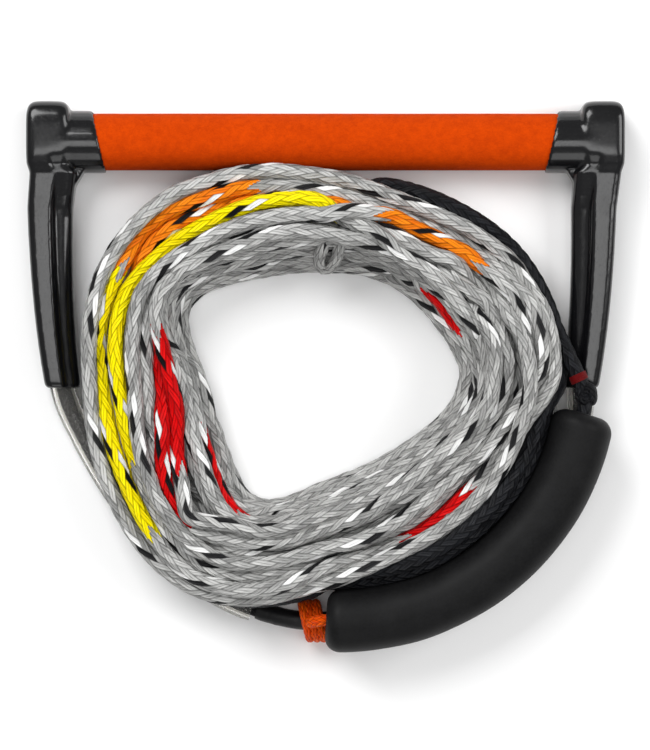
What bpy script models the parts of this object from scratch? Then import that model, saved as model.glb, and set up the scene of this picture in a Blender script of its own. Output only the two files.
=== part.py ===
"""Water-ski tow handle with its rope, stored flat.

The bar lies along X, the arms run towards -Y and the object lies on the plane z = 0.
The origin is the middle of the footprint of the handle and float.
"""
import bpy
import bmesh
import numpy as np
from math import atan2, cos, hypot, pi, radians, sin, sqrt
from mathutils import Vector

MM = 0.001

FIT = 0.3 * MM               # gap between pieces that touch
LIFT = 0.1 * MM              # what lies on the floor clears it by this

# ---- overall -----------------------------------------------------------------------------
CAP_HALF = 167.0 * MM        # outermost face of the end caps
BAR_Y = 131.0 * MM           # bar axis
ARM_END = -6.7 * MM          # free ends of the arms

# ---- rope and hose -----------------------------------------------------------------------
ROPE_RADIUS = 4.0 * MM
ROPE_CLEARANCE = 0.7 * MM    # radial, where the rope runs through a bore
KNOT_RADIUS = 6.8 * MM
HOSE_RADIUS = 7.5 * MM
HOSE_WALL = 1.9 * MM
HOSE_INSERT = 22.0 * MM      # how deep the hose sits in the arm
HOSE_SLACK = 0.9 * MM        # radial, in the mouth of the arm
NOSE_RADIUS = ROPE_RADIUS + FIT + 0.7 * MM

# ---- bar ---------------------------------------------------------------------------------
BAR_RADIUS = 12.7 * MM
BAR_WALL = 2.0 * MM
GRIP_WALL = 3.0 * MM
GRIP_RADIUS = BAR_RADIUS + FIT + GRIP_WALL
CAP_WALL = 5.0 * MM          # rubber beyond the bar's end
BAR_HALF = CAP_HALF - CAP_WALL
KNOT_INSET = 9.5 * MM        # the cross hole's place, from the bar's end
KNOT_HALF_SPACING = BAR_HALF - KNOT_INSET
PLUG_LENGTH = 10.0 * MM
CORE_HALF = KNOT_HALF_SPACING - KNOT_RADIUS - PLUG_LENGTH - 3.7 * MM
BUSH_WALL = 1.1 * MM
BUSH_FLANGE = 1.2 * MM
BUSH_FLANGE_WIDTH = 1.0 * MM

# ---- end caps ----------------------------------------------------------------------------
COLLAR_LIP = 1.5 * MM
COLLAR_RADIUS = GRIP_RADIUS + COLLAR_LIP
COLLAR_LENGTH = 37.0 * MM
COLLAR_END = CAP_HALF - COLLAR_LENGTH    # where it ends on its far side from the arm
COLLAR_SLANT = 7.8 * MM      # how much further in it reaches on the arm side
GRIP_HALF = COLLAR_END + 1.0 * MM
BAR_Z = COLLAR_RADIUS
CAP_TOP = COLLAR_RADIUS + 5.1 * MM       # height of the boss above the bar axis
BOSS_WIDTH = 24.5 * MM
MOUTH_WALL = 1.6 * MM        # rubber beside the hose in the arm's end
ARM_TOP_WIDTH = 26.0 * MM
ARM_END_WIDTH = 2 * (HOSE_RADIUS + HOSE_SLACK + MOUTH_WALL)
ARM_TOP_THICK = 29.0 * MM
ARM_END_THICK = 2 * (HOSE_RADIUS + HOSE_SLACK + 3.1 * MM)
ARM_WEB_THICK = 2 * (HOSE_RADIUS + HOSE_SLACK + 1.35 * MM)   # the inner, lower part of the arm
RAIL_SHARE = 0.55            # share of the width that is the raised rail
ARM_TOP_X = CAP_HALF - 15.0 * MM
ARM_LEAN = 7.1 * MM          # how far the arm's end leans inwards
ARM_BEND = 2.6               # how late the arm leans inwards
ARM_SWAY = 2.0 * MM          # both soft arms lie swayed towards -X
ARM_END_Z = ARM_END_THICK / 2 + FIT      # the arm droops to the floor

# ---- eye ---------------------------------------------------------------------------------
EYE_STRAND = 3.2 * MM
EYE_SLACK = 0.8 * MM         # radial, round the nose sleeve
EYE_X = -7.2 * MM
EYE_Y = -137.35 * MM
EYE_TURNS = 2
EYE_RING = NOSE_RADIUS + EYE_SLACK + EYE_STRAND
EYE_Z = EYE_RING + EYE_STRAND + LIFT

# ---- float -------------------------------------------------------------------------------
FLOAT_CENTRE = (8.6 * MM, 0.6 * MM)
FLOAT_ARC = 136.7 * MM
FLOAT_RADIUS = 17.5 * MM
FLOAT_BORE = ROPE_RADIUS + 1.0 * MM
FLOAT_ROUND = 8.0 * MM
FLOAT_Z = 2 * HOSE_RADIUS + 1.0 * MM + FLOAT_RADIUS   # it lies on the hose
FLOAT_FROM = radians(-93.5)
FLOAT_TO = radians(-8.6)
MARKER_WALL = 1.0 * MM
FLOAT_PLAY = 3.0 * MM        # how far the float slides before it meets the knot

# ---- coil --------------------------------------------------------------------------------
COIL_CENTRE = (-0.6 * MM, -5.9 * MM)
COIL_TOP = 42.0 * MM
COIL_GAP = 0.8 * MM
COIL_UNDERCUT = (2 * HOSE_RADIUS + 3.0 * MM, 2 * HOSE_RADIUS + 0.8 * MM)   # over the hose
COIL_SHOULDER = (16.0 * MM, 20.0 * MM)   # inner slope: width and the height where it starts
COIL_ROUND = 8.0 * MM
COIL_OUTLINE = (             # direction in degrees, inner and outer radius in mm
    (0, 77, 133), (30, 72, 131), (60, 69, 124), (90, 66, 120.5), (120, 72, 137), (150, 88, 142),
    (180, 65, 134), (210, 65, 134), (240, 74, 134.5), (270, 55, 116), (300, 51, 117), (330, 59, 122.5),
)

# The hoses start this far in from the middle of the arms' ends.
HOSE_SHIFT = {-1: 3.1 * MM, 1: 0.3 * MM}
# The hose below the left arm, down to the nose: x, y and height above lying on the floor, in mm.
LEFT_HOSE_ROUTE = (
    (-143.8, -17.5, 1.0), (-138.6, -28.5, 0.0), (-131.6, -42.0, 0.0), (-123.8, -55.5, 0.0),
    (-115.8, -68.0, 0.0), (-108.0, -78.8, 0.0), (-92.5, -97.0, 0.0), (-74.0, -112.6, 0.0),
    (-55.0, -124.6, 0.0), (-38.0, -131.6, 0.6),
)
# The rope through the nose, from the left hose to the right one: x, y and height below the eye.
NOSE_ROUTE = ((-26.0, -135.0, 1.6), (-14.0, -137.1, 0.1), (-2.0, -137.4, 0.3), (9.0, -136.4, 2.7))
# The hose below the right arm, where it runs in under the float.
RIGHT_HOSE_ROUTE = ((143.2, -18.5, 0.9),)
# The short free stretch of leader from the knot to the coil: x, y and height above the float's bore.
TAIL_ROUTE = ((141.4, -2.6, 1.1), (139.4, 2.2, 0.9), (137.0, 7.2, 0.5), (134.6, 11.8, -0.1))


# ==== helpers =============================================================================
def clear_scene():
    for item in list(bpy.data.objects):
        bpy.data.objects.remove(item, do_unlink=True)


def make_material(name, colour, roughness, metallic=0.0):
    material = bpy.data.materials.new(name)
    material.use_nodes = True
    shader = material.node_tree.nodes["Principled BSDF"]
    shader.inputs["Base Color"].default_value = (*colour, 1.0)
    shader.inputs["Roughness"].default_value = roughness
    shader.inputs["Metallic"].default_value = metallic
    material.diffuse_color = (*colour, 1.0)
    return material


def add_object(name, data, material):
    data.materials.append(material)
    item = bpy.data.objects.new(name, data)
    bpy.context.scene.collection.objects.link(item)
    return item


def rings_to_mesh(name, rings, closed=False):
    """Skin a list of equal rings of points; the ends are capped, or joined when closed."""
    mesh_data = bmesh.new()
    rows = [[mesh_data.verts.new(point) for point in ring] for ring in rings]
    size = len(rows[0])
    pairs = list(zip(rows, rows[1:]))
    if closed:
        pairs.append((rows[-1], rows[0]))
    for low, high in pairs:
        for i in range(size):
            j = (i + 1) % size
            mesh_data.faces.new((low[i], low[j], high[j], high[i]))
    if not closed:
        mesh_data.faces.new(list(reversed(rows[0])))
        mesh_data.faces.new(rows[-1])
    bmesh.ops.recalc_face_normals(mesh_data, faces=mesh_data.faces)
    mesh = bpy.data.meshes.new(name)
    mesh_data.to_mesh(mesh)
    mesh_data.free()
    return mesh


def smooth(mesh, angle=35):
    mesh.shade_smooth()
    mesh.set_sharp_from_angle(angle=radians(angle))
    return mesh


def smooth_route(points, step):
    """A smooth curve through the points (centripetal Catmull-Rom), read at an even step."""
    knots = [Vector(point) for point in points]
    knots = [2 * knots[0] - knots[1]] + knots + [2 * knots[-1] - knots[-2]]
    dense = []
    for a, b, c, d in zip(knots, knots[1:], knots[2:], knots[3:]):
        t0 = 0.0
        t1 = t0 + (b - a).length ** 0.5
        t2 = t1 + (c - b).length ** 0.5
        t3 = t2 + (d - c).length ** 0.5
        for k in range(12):
            t = t1 + (t2 - t1) * k / 12
            ab = a.lerp(b, (t - t0) / (t1 - t0))
            bc = b.lerp(c, (t - t1) / (t2 - t1))
            cd = c.lerp(d, (t - t2) / (t3 - t2))
            abc = ab.lerp(bc, (t - t0) / (t2 - t0))
            bcd = bc.lerp(cd, (t - t1) / (t3 - t1))
            dense.append(abc.lerp(bcd, (t - t1) / (t2 - t1)))
    dense.append(knots[-2])
    lengths = np.cumsum([0.0] + [(b - a).length for a, b in zip(dense, dense[1:])])
    count = max(2, round(lengths[-1] / step))
    marks = np.linspace(0, lengths[-1], count + 1)
    table = np.array([tuple(point) for point in dense])
    return [Vector([np.interp(mark, lengths, table[:, axis]) for axis in range(3)]) for mark in marks]


def frames_along(points):
    """A pair of axes across the line at each point, without twist."""
    tangents = []
    for i in range(len(points)):
        ahead = points[min(i + 1, len(points) - 1)]
        behind = points[max(i - 1, 0)]
        tangents.append((ahead - behind).normalized())
    side = Vector((0, 0, 1)).cross(tangents[0])
    if side.length < 0.1:
        side = Vector((1, 0, 0)).cross(tangents[0])
    frames = []
    for tangent in tangents:
        side = (side - tangent * side.dot(tangent)).normalized()
        frames.append((side, tangent.cross(side)))
    return frames


def ring_at(centre, frame, radius, sides):
    side, up = frame
    return [centre + side * radius * cos(2 * pi * i / sides) + up * radius * sin(2 * pi * i / sides)
            for i in range(sides)]


def hose(name, points, radius, bore, sides, radii=None):
    """A hollow tube along the points; radii gives its outer radius point by point."""
    frames = frames_along(points)
    outer = [ring_at(point, frame, radii[i] if radii else radius, sides)
             for i, (point, frame) in enumerate(zip(points, frames))]
    inner = [ring_at(point, frame, bore, sides) for point, frame in zip(points, frames)]
    return smooth(rings_to_mesh(name, outer + inner[::-1], closed=True))


def rope(name, points, radius, resolution, material):
    """A rope as a bevelled polyline with filled ends."""
    curve = bpy.data.curves.new(name, "CURVE")
    curve.dimensions = "3D"
    curve.bevel_depth = radius
    curve.bevel_resolution = resolution
    curve.use_fill_caps = True
    curve.render_resolution_u = 0
    spline = curve.splines.new("POLY")
    spline.points.add(len(points) - 1)
    for target, point in zip(spline.points, points):
        target.co = (*point, 1.0)
    return add_object(name, curve, material)


def turned(name, profile, axis_point, axis, sides):
    """A closed profile of (along, radius) pairs turned about an axis."""
    axis = Vector(axis).normalized()
    reference = Vector((0, 0, 1)) if abs(axis.z) < 0.9 else Vector((1, 0, 0))
    side = reference.cross(axis).normalized()
    up = axis.cross(side)
    rings = []
    for i in range(sides):
        turn = 2 * pi * i / sides
        across = side * cos(turn) + up * sin(turn)
        rings.append([Vector(axis_point) + axis * along + across * radius for along, radius in profile])
    return smooth(rings_to_mesh(name, rings, closed=True))


def cylinder(name, start, end, radius, sides=32):
    points = [Vector(start), Vector(end)]
    frame = frames_along(points)[0]
    return rings_to_mesh(name, [ring_at(point, frame, radius, sides) for point in points])


def cut(item, cutters):
    for cutter in cutters:
        cutter.hide_render = True
        cutter.display_type = "WIRE"
        modifier = item.modifiers.new("cut_" + cutter.name, "BOOLEAN")
        modifier.operation = "DIFFERENCE"
        modifier.solver = "EXACT"
        modifier.object = cutter


def guide(name, mesh):
    item = bpy.data.objects.new(name, mesh)
    bpy.context.scene.collection.objects.link(item)
    item.hide_render = True
    item.display_type = "WIRE"
    return item


# ==== shared geometry =====================================================================
def arm_share(y):
    """0 at the arm's root under the bar, 1 at its free end."""
    root = BAR_Y - COLLAR_RADIUS
    return min(max((root - y) / (root - ARM_END), 0.0), 1.0)


def arm_centre(side, y):
    share = arm_share(y)
    lean = share ** ARM_BEND * ARM_LEAN
    sway = ARM_SWAY * min(share * 6, 1.0)
    x = side * (ARM_TOP_X - lean) - sway
    z = BAR_Z + (ARM_END_Z - BAR_Z) * share
    return Vector((x, y, z))


def arm_bore_route(side):
    """The rope's line from the cross hole in the bar to the arm's end."""
    heights = [BAR_Y - BAR_RADIUS - 1 * MM, BAR_Y - COLLAR_RADIUS - 12 * MM]
    hole = Vector((side * KNOT_HALF_SPACING, heights[0], BAR_Z))
    route = [hole]
    for k in range(7):
        y = heights[1] + (ARM_END - heights[1]) * k / 6
        route.append(arm_centre(side, y))
    return route


def float_point(angle, z=FLOAT_Z):
    return Vector((FLOAT_CENTRE[0] + FLOAT_ARC * cos(angle), FLOAT_CENTRE[1] + FLOAT_ARC * sin(angle), z))


def placed(route, height, down=False):
    """A hand-placed route in mm, with its heights counted up (or down) from a height."""
    return [Vector((x * MM, y * MM, height + (-z if down else z) * MM)) for x, y, z in route]


def hung_from_arm(side, route, height):
    """A placed route whose first point keeps to the arm's end; the rest follow it less and less."""
    points = placed(route, height)
    shift = arm_centre(side, ARM_END).x + HOSE_SHIFT[side] - points[0].x
    for k, point in enumerate(points):
        point.x += shift * (1 - k / len(points))
    return points


def bridle_route():
    """The whole bridle rope, from the left knot round the nose to the right knot."""
    top = BAR_Y - BAR_RADIUS + BAR_WALL + BUSH_FLANGE + 2 * FIT
    lying = HOSE_RADIUS + LIFT
    left = [Vector((-KNOT_HALF_SPACING, top, BAR_Z))] + arm_bore_route(-1)
    left += hung_from_arm(-1, LEFT_HOSE_ROUTE, lying)
    nose = placed(NOSE_ROUTE, EYE_Z, down=True)
    under = [float_point(radians(angle), lying) for angle in range(-80, -15, 8)]
    right = under + hung_from_arm(1, RIGHT_HOSE_ROUTE, lying)
    right += arm_bore_route(1)[::-1] + [Vector((KNOT_HALF_SPACING, top, BAR_Z))]
    return smooth_route(left + nose + right, 9 * MM)


def stretch(points, start, end):
    """The part of a line between its points nearest to start and end."""
    first = min(range(len(points)), key=lambda i: (points[i] - start).length)
    last = min(range(len(points)), key=lambda i: (points[i] - end).length)
    return points[first:last + 1]


def nose_ends(route):
    left = stretch(route, route[0], placed(LEFT_HOSE_ROUTE, HOSE_RADIUS)[-1])[-1]
    right = stretch(route, route[0], float_point(radians(-84), HOSE_RADIUS))[-1]
    return left, right


# ==== the bar =============================================================================
def build_bar(materials):
    hollow = BAR_RADIUS - BAR_WALL
    along = (1, 0, 0)
    middle = (0, BAR_Y, BAR_Z)

    tube = add_object("bar_tube", turned("bar_tube", [
        (-BAR_HALF, hollow), (-BAR_HALF, BAR_RADIUS), (BAR_HALF, BAR_RADIUS), (BAR_HALF, hollow),
    ], middle, along, 32), materials["aluminium"])
    bush_radius = ROPE_RADIUS + ROPE_CLEARANCE + BUSH_WALL
    holes = []
    for label, side in (("left", -1), ("right", 1)):
        x = side * KNOT_HALF_SPACING
        low = BAR_Y - BAR_RADIUS - 5 * MM
        high = BAR_Y
        holes.append(guide("cross_hole_" + label,
                           cylinder("cross_hole_" + label, (x, low, BAR_Z), (x, high, BAR_Z),
                                    bush_radius + FIT, 20)))
    cut(tube, holes)

    core_radius = hollow - FIT
    add_object("bar_foam_core", smooth(cylinder(
        "bar_foam_core", (-CORE_HALF, BAR_Y, BAR_Z), (CORE_HALF, BAR_Y, BAR_Z), core_radius, 24)),
        materials["foam"])
    for label, side in (("left", -1), ("right", 1)):
        inner = side * (CORE_HALF + FIT)
        outer = inner + side * PLUG_LENGTH
        add_object("bar_plug_" + label, smooth(cylinder(
            "bar_plug_" + label, (inner, BAR_Y, BAR_Z), (outer, BAR_Y, BAR_Z), core_radius, 24)),
            materials["plug"])

    add_object("grip_sleeve", turned("grip_sleeve", [
        (-GRIP_HALF, BAR_RADIUS + FIT), (-GRIP_HALF, GRIP_RADIUS),
        (GRIP_HALF, GRIP_RADIUS), (GRIP_HALF, BAR_RADIUS + FIT),
    ], middle, along, 32), materials["grip"])


def build_bushes_and_knots(materials):
    bore = ROPE_RADIUS + ROPE_CLEARANCE
    barrel = bore + BUSH_WALL
    flange = barrel + BUSH_FLANGE_WIDTH
    wall_outside = BAR_Y - sqrt(BAR_RADIUS ** 2 - barrel ** 2)
    wall_inside = BAR_Y - sqrt((BAR_RADIUS - BAR_WALL) ** 2 - flange ** 2) + FIT
    top = wall_inside + BUSH_FLANGE
    for label, side in (("left", -1), ("right", 1)):
        x = side * KNOT_HALF_SPACING
        add_object("rope_bush_" + label, turned("rope_bush_" + label, [
            (wall_outside, bore), (wall_outside, barrel), (wall_inside, barrel),
            (wall_inside, flange), (top, flange), (top, bore),
        ], (x, 0, BAR_Z), (0, 1, 0), 20), materials["bush"])
        knot_low = top + FIT
        squeeze = 0.9
        profile = []
        for k in range(1, 8):
            turn = pi * k / 8
            profile.append((knot_low + KNOT_RADIUS * squeeze * (1 - cos(turn)), KNOT_RADIUS * sin(turn)))
        rings = [ring_at(Vector((x, along, BAR_Z)), (Vector((1, 0, 0)), Vector((0, 0, -1))), radius, 14)
                 for along, radius in profile]
        add_object("bridle_knot_" + label, smooth(rings_to_mesh("bridle_knot_" + label, rings), 60),
                   materials["black_rope"])


# ==== end caps ============================================================================
def arm_section(centre, width, thick, web, outward):
    """One slice of an arm: the raised rail outside, the lower web inside."""
    half = width / 2
    step = half - RAIL_SHARE * width
    edge = min(3.2 * MM, thick / 4)
    lip = min(1.6 * MM, max((thick - web) / 2, 0.2 * MM))
    top = thick / 2
    low = max(min(web / 2, top - 0.15 * MM), 1 * MM)
    upper = [
        (half, 0.0), (half, top - edge), (half - 0.3 * edge, top - 0.3 * edge), (half - edge, top),
        (step + lip * 0.6, top), (step, top - lip * 0.4), (step - lip, low),
        (-half + 1.3 * edge, low), (-half + 0.4 * edge, low - 0.4 * edge), (-half, low - 1.3 * edge),
    ]
    lower = [(x, -z) for x, z in reversed(upper[1:])]
    outline = upper + lower
    return [Vector((centre.x + outward * x, centre.y, centre.z + z)) for x, z in outline]


def cap_body(side, label):
    """Boss and arm as one loft of slices from the boss's top to the arm's end."""
    slices = []
    boss_x = side * (CAP_HALF - BOSS_WIDTH / 2)
    boss_top = BAR_Y + CAP_TOP
    boss_low = BAR_Y - COLLAR_RADIUS + 5 * MM
    for depth, scale in ((0.0, 0.52), (1.2, 0.74), (3.4, 0.9), (7.5, 0.985), (12.0, 1.0)):
        centre = Vector((boss_x, boss_top - depth * MM, BAR_Z))
        thick = 2 * COLLAR_RADIUS * scale
        slices.append(arm_section(centre, BOSS_WIDTH * (0.35 + 0.65 * scale), thick, thick, side))
    slices.append(arm_section(Vector((boss_x, boss_low + 6 * MM, BAR_Z)),
                              BOSS_WIDTH, 2 * COLLAR_RADIUS, 2 * COLLAR_RADIUS, side))
    slices.append(arm_section(Vector((boss_x + side * 0.4 * MM, boss_low, BAR_Z)),
                              BOSS_WIDTH - 1.6 * MM, 2 * COLLAR_RADIUS - 2.5 * MM, ARM_TOP_THICK, side))
    root = BAR_Y - COLLAR_RADIUS
    steps = 12
    for k in range(steps + 1):
        share = k / steps
        y = root + (ARM_END + 3 * MM - root) * share
        width = ARM_TOP_WIDTH + (ARM_END_WIDTH - ARM_TOP_WIDTH) * share
        thick = ARM_TOP_THICK + (ARM_END_THICK - ARM_TOP_THICK) * share
        web = ARM_WEB_THICK + (thick - ARM_WEB_THICK) * max(0.0, 1 - share * 7)
        slices.append(arm_section(arm_centre(side, y), width, thick, web, side))
    for rise, shrink in ((1.2, 0.6), (0.0, 2.4)):
        centre = arm_centre(side, ARM_END + rise * MM)
        slices.append(arm_section(centre, ARM_END_WIDTH - shrink * MM, ARM_END_THICK - shrink * MM,
                                  ARM_WEB_THICK - 0.6 * shrink * MM, side))
    return smooth(rings_to_mesh("end_cap_" + label, slices), 40)


def collar_mesh(side, name):
    """The collar over the grip's end, its rim slanting in towards the arm."""
    sides = 28
    frame = (Vector((0, 1, 0)), Vector((0, 0, 1)))
    start = side * (CAP_HALF - BOSS_WIDTH / 2)
    rings = [ring_at(Vector((start, BAR_Y, BAR_Z)), frame, COLLAR_RADIUS, sides)]
    for inset, radius in ((2.0 * MM, COLLAR_RADIUS), (0.0, COLLAR_RADIUS - 0.5 * MM)):
        ring = []
        for point in ring_at(Vector((0, BAR_Y, BAR_Z)), frame, radius, sides):
            drop = (COLLAR_RADIUS - (point.y - BAR_Y)) / (2 * COLLAR_RADIUS)
            point.x = side * (COLLAR_END - COLLAR_SLANT * drop + inset)
            ring.append(point)
        rings.append(ring)
    return rings_to_mesh(name, rings)


def gusset_mesh(side, name):
    """The web that fairs the collar into the arm's inner edge."""
    inner = side * (COLLAR_END + 3.5 * MM)
    outer = side * (CAP_HALF - BOSS_WIDTH / 2)
    low = BAR_Y - COLLAR_RADIUS - 9 * MM
    top = BAR_Y - 10 * MM
    outline = [(inner, top), (outer, top), (outer, low), (side * (ARM_TOP_X - 11 * MM), low),
               (inner + side * 2 * MM, BAR_Y - COLLAR_RADIUS)]
    half = 8.5 * MM
    rings = [[Vector((x, y, BAR_Z + z)) for x, y in outline] for z in (-half, half)]
    return rings_to_mesh(name, rings)


def build_caps(materials):
    for label, side in (("left", -1), ("right", 1)):
        cap = add_object("end_cap_" + label, cap_body(side, label), materials["rubber"])
        for part, mesh in (("collar", collar_mesh), ("gusset", gusset_mesh)):
            piece = guide(part + "_" + label, mesh(side, part + "_" + label))
            joint = cap.modifiers.new("join_" + part, "BOOLEAN")
            joint.operation = "UNION"
            joint.solver = "EXACT"
            joint.object = piece
        axis_y, axis_z = BAR_Y, BAR_Z
        far = side * (BAR_HALF + FIT)
        near = side * (COLLAR_END - COLLAR_SLANT - 5 * MM)
        lip = side * (GRIP_HALF + FIT)
        socket = guide("socket_" + label, cylinder("socket_" + label, (near, axis_y, axis_z),
                                                   (far, axis_y, axis_z), BAR_RADIUS + FIT))
        recess = guide("recess_" + label, cylinder("recess_" + label, (near, axis_y, axis_z),
                                                   (lip, axis_y, axis_z), GRIP_RADIUS + FIT))
        route = arm_bore_route(side)
        route[0] = route[0] + Vector((0, 4 * MM, 0))
        past_end = route[-1] + (route[-1] - route[-2]).normalized() * 5 * MM
        line = smooth_route(route + [past_end], 12 * MM)
        frames = frames_along(line)
        bore = guide("arm_bore_" + label, rings_to_mesh("arm_bore_" + label, [
            ring_at(point, frame, ROPE_RADIUS + ROPE_CLEARANCE, 14) for point, frame in zip(line, frames)]))
        mouth = [point for point in line if point.y < ARM_END + HOSE_INSERT + FIT]
        mouth_frames = frames_along(mouth)
        hose_bore = guide("hose_bore_" + label, rings_to_mesh("hose_bore_" + label, [
            ring_at(point, frame, HOSE_RADIUS + HOSE_SLACK, 20) for point, frame in zip(mouth, mouth_frames)]))
        cut(cap, [socket, recess, bore, hose_bore])


# ==== bridle ==============================================================================
def build_bridle(materials):
    route = bridle_route()
    rope("bridle_rope", route, ROPE_RADIUS, 2, materials["black_rope"])

    left_end, right_end = nose_ends(route)
    tube_left = [point for point in stretch(route, route[0], left_end)
                 if point.y < ARM_END + HOSE_INSERT - 4 * MM][:-1]
    tube_right = [point for point in stretch(route, right_end, route[-1])
                  if point.y < ARM_END + HOSE_INSERT - 4 * MM][1:]
    for label, line in (("left", tube_left), ("right", tube_right)):
        add_object("bridle_tube_" + label, hose("bridle_tube_" + label, line, HOSE_RADIUS,
                                                HOSE_RADIUS - HOSE_WALL, 16), materials["clear"])

    sleeve = stretch(route, left_end, right_end)
    add_object("nose_sleeve", hose("nose_sleeve", sleeve, NOSE_RADIUS, ROPE_RADIUS + FIT, 14),
               materials["shrink"])


def build_eye(materials):
    """The orange eye: strands hitched round the nose sleeve, and a throat up into the float."""
    centre = Vector((EYE_X, EYE_Y, EYE_Z))
    spacing = 2 * EYE_STRAND - 0.8 * MM
    strands = []
    for k in range(EYE_TURNS):
        x = centre.x + (k - (EYE_TURNS - 1) / 2) * spacing
        loop = []
        for i in range(20):
            turn = 2 * pi * i / 20
            middle = Vector((x, centre.y + EYE_RING * cos(turn), centre.z + EYE_RING * sin(turn)))
            outward = Vector((0, cos(turn), sin(turn)))
            loop.append(ring_at(middle, (Vector((1, 0, 0)), outward), EYE_STRAND, 8))
        strands.append(rings_to_mesh("eye_strand", loop, closed=True))
    end = float_point(FLOAT_FROM + 0.05)
    face = float_point(FLOAT_FROM)
    start = Vector((centre.x - 0.5 * MM, centre.y, centre.z + EYE_RING + 1.0 * MM))
    bend = [start + Vector((0.2 * MM, 0.1 * MM, 0.55 * (face.z - start.z))),
            face + Vector((-3.6 * MM, -0.3 * MM, -0.5 * MM)), face]
    throat = smooth_route([start] + bend + [end], 3 * MM)
    frames = frames_along(throat)
    strands.append(rings_to_mesh("eye_throat", [
        ring_at(point, frame, EYE_STRAND, 10) for point, frame in zip(throat, frames)]))
    eye = add_object("leader_eye", strands[0], materials["orange_rope"])
    for k, mesh in enumerate(strands[1:]):
        joint = eye.modifiers.new("join_strand", "BOOLEAN")
        joint.operation = "UNION"
        joint.solver = "EXACT"
        joint.object = guide("eye_part_" + str(k), mesh)
    return end


# ==== float and leader ====================================================================
def build_float(materials):
    span = FLOAT_TO - FLOAT_FROM
    soft = FLOAT_ROUND / FLOAT_ARC
    entry = []
    for k in range(4):
        turn = pi / 2 * k / 3
        entry.append((soft * (1 - cos(turn)), FLOAT_RADIUS - FLOAT_ROUND * (1 - sin(turn))))
    stations = [(FLOAT_FROM + offset, radius) for offset, radius in entry]
    middle = 11
    for k in range(1, middle):
        stations.append((FLOAT_FROM + soft + (span - 2 * soft) * k / middle, FLOAT_RADIUS))
    stations += [(FLOAT_TO - offset, radius) for offset, radius in reversed(entry)]
    centre = Vector((*FLOAT_CENTRE, FLOAT_Z))
    outer, inner = [], []
    for angle, radius in stations:
        point = float_point(angle) - centre
        frame = (Vector((cos(angle), sin(angle), 0)), Vector((0, 0, 1)))
        outer.append(ring_at(point, frame, radius, 24))
        inner.append(ring_at(point, frame, FLOAT_BORE, 24))
    item = add_object("float", smooth(rings_to_mesh("float", outer + inner[::-1], closed=True)),
                      materials["float"])
    item.location = centre


def build_leader(materials, eye_end):
    """The black handle section: through the float, the stop knot, and on to the coil."""
    start = atan2(eye_end.y - FLOAT_CENTRE[1], eye_end.x - FLOAT_CENTRE[0]) + 2 * FIT / FLOAT_ARC
    knot_angle = FLOAT_TO + (FLOAT_PLAY + KNOT_RADIUS) / FLOAT_ARC
    knot = float_point(knot_angle)
    stop = knot_angle - (KNOT_RADIUS + FIT) / FLOAT_ARC
    count = 24
    line = [float_point(start + (stop - start) * k / count) for k in range(count + 1)]
    rope("leader_rope", line, ROPE_RADIUS, 2, materials["black_rope"])

    rings = []
    along = Vector((-sin(knot_angle), cos(knot_angle), 0))
    frame = frames_along([knot, knot + along])[0]
    for k in range(1, 8):
        turn = pi * k / 8
        rings.append(ring_at(knot - along * KNOT_RADIUS * cos(turn), frame, KNOT_RADIUS * sin(turn), 14))
    add_object("leader_knot", smooth(rings_to_mesh("leader_knot", rings), 60), materials["black_rope"])

    tail = smooth_route(placed(TAIL_ROUTE, FLOAT_Z), 2.5 * MM)
    rope("leader_tail", tail, ROPE_RADIUS, 2, materials["black_rope"])
    band = tail[:3]
    add_object("leader_marker", hose("leader_marker", band, ROPE_RADIUS + FIT + MARKER_WALL,
                                     ROPE_RADIUS + FIT, 16), materials["red_rope"])


# ==== coil ================================================================================
def periodic(table, column, angle):
    """A smooth closed curve through one column of the outline table."""
    count = len(table)
    place = (angle / (2 * pi)) % 1.0 * count
    i = int(place) % count
    t = place - int(place)
    a, b, c, d = (table[(i + k) % count][column] for k in (-1, 0, 1, 2))
    return 0.5 * (2 * b + (c - a) * t + (2 * a - 5 * b + 4 * c - d) * t ** 2
                  + (3 * b - a - 3 * c + d) * t ** 3)


def coil_limit(angle):
    """How far out the coil may reach in a direction before it meets the float, grip or arms."""
    ux, uy = cos(angle), sin(angle)
    reach = 1.0
    inner_edge = FLOAT_ARC - FLOAT_RADIUS - COIL_GAP
    ox, oy = FLOAT_CENTRE[0] - COIL_CENTRE[0], FLOAT_CENTRE[1] - COIL_CENTRE[1]
    dot = ux * ox + uy * oy
    to_float = dot + sqrt(dot ** 2 + inner_edge ** 2 - ox ** 2 - oy ** 2)
    at = atan2(COIL_CENTRE[1] + uy * to_float - FLOAT_CENTRE[1],
               COIL_CENTRE[0] + ux * to_float - FLOAT_CENTRE[0])
    if FLOAT_FROM - 0.02 < at < FLOAT_TO + 0.02:
        reach = min(reach, to_float)
    if uy > 0.1:
        reach = min(reach, (BAR_Y - GRIP_RADIUS - COIL_GAP - COIL_CENTRE[1]) / uy)
    if abs(ux) > 0.1:
        arm = ARM_TOP_X - ARM_LEAN - ARM_END_WIDTH / 2 - COIL_GAP
        edge = arm - ARM_SWAY if ux > 0 else -arm
        reach = min(reach, (edge - COIL_CENTRE[0]) / ux)
    return reach


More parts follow.
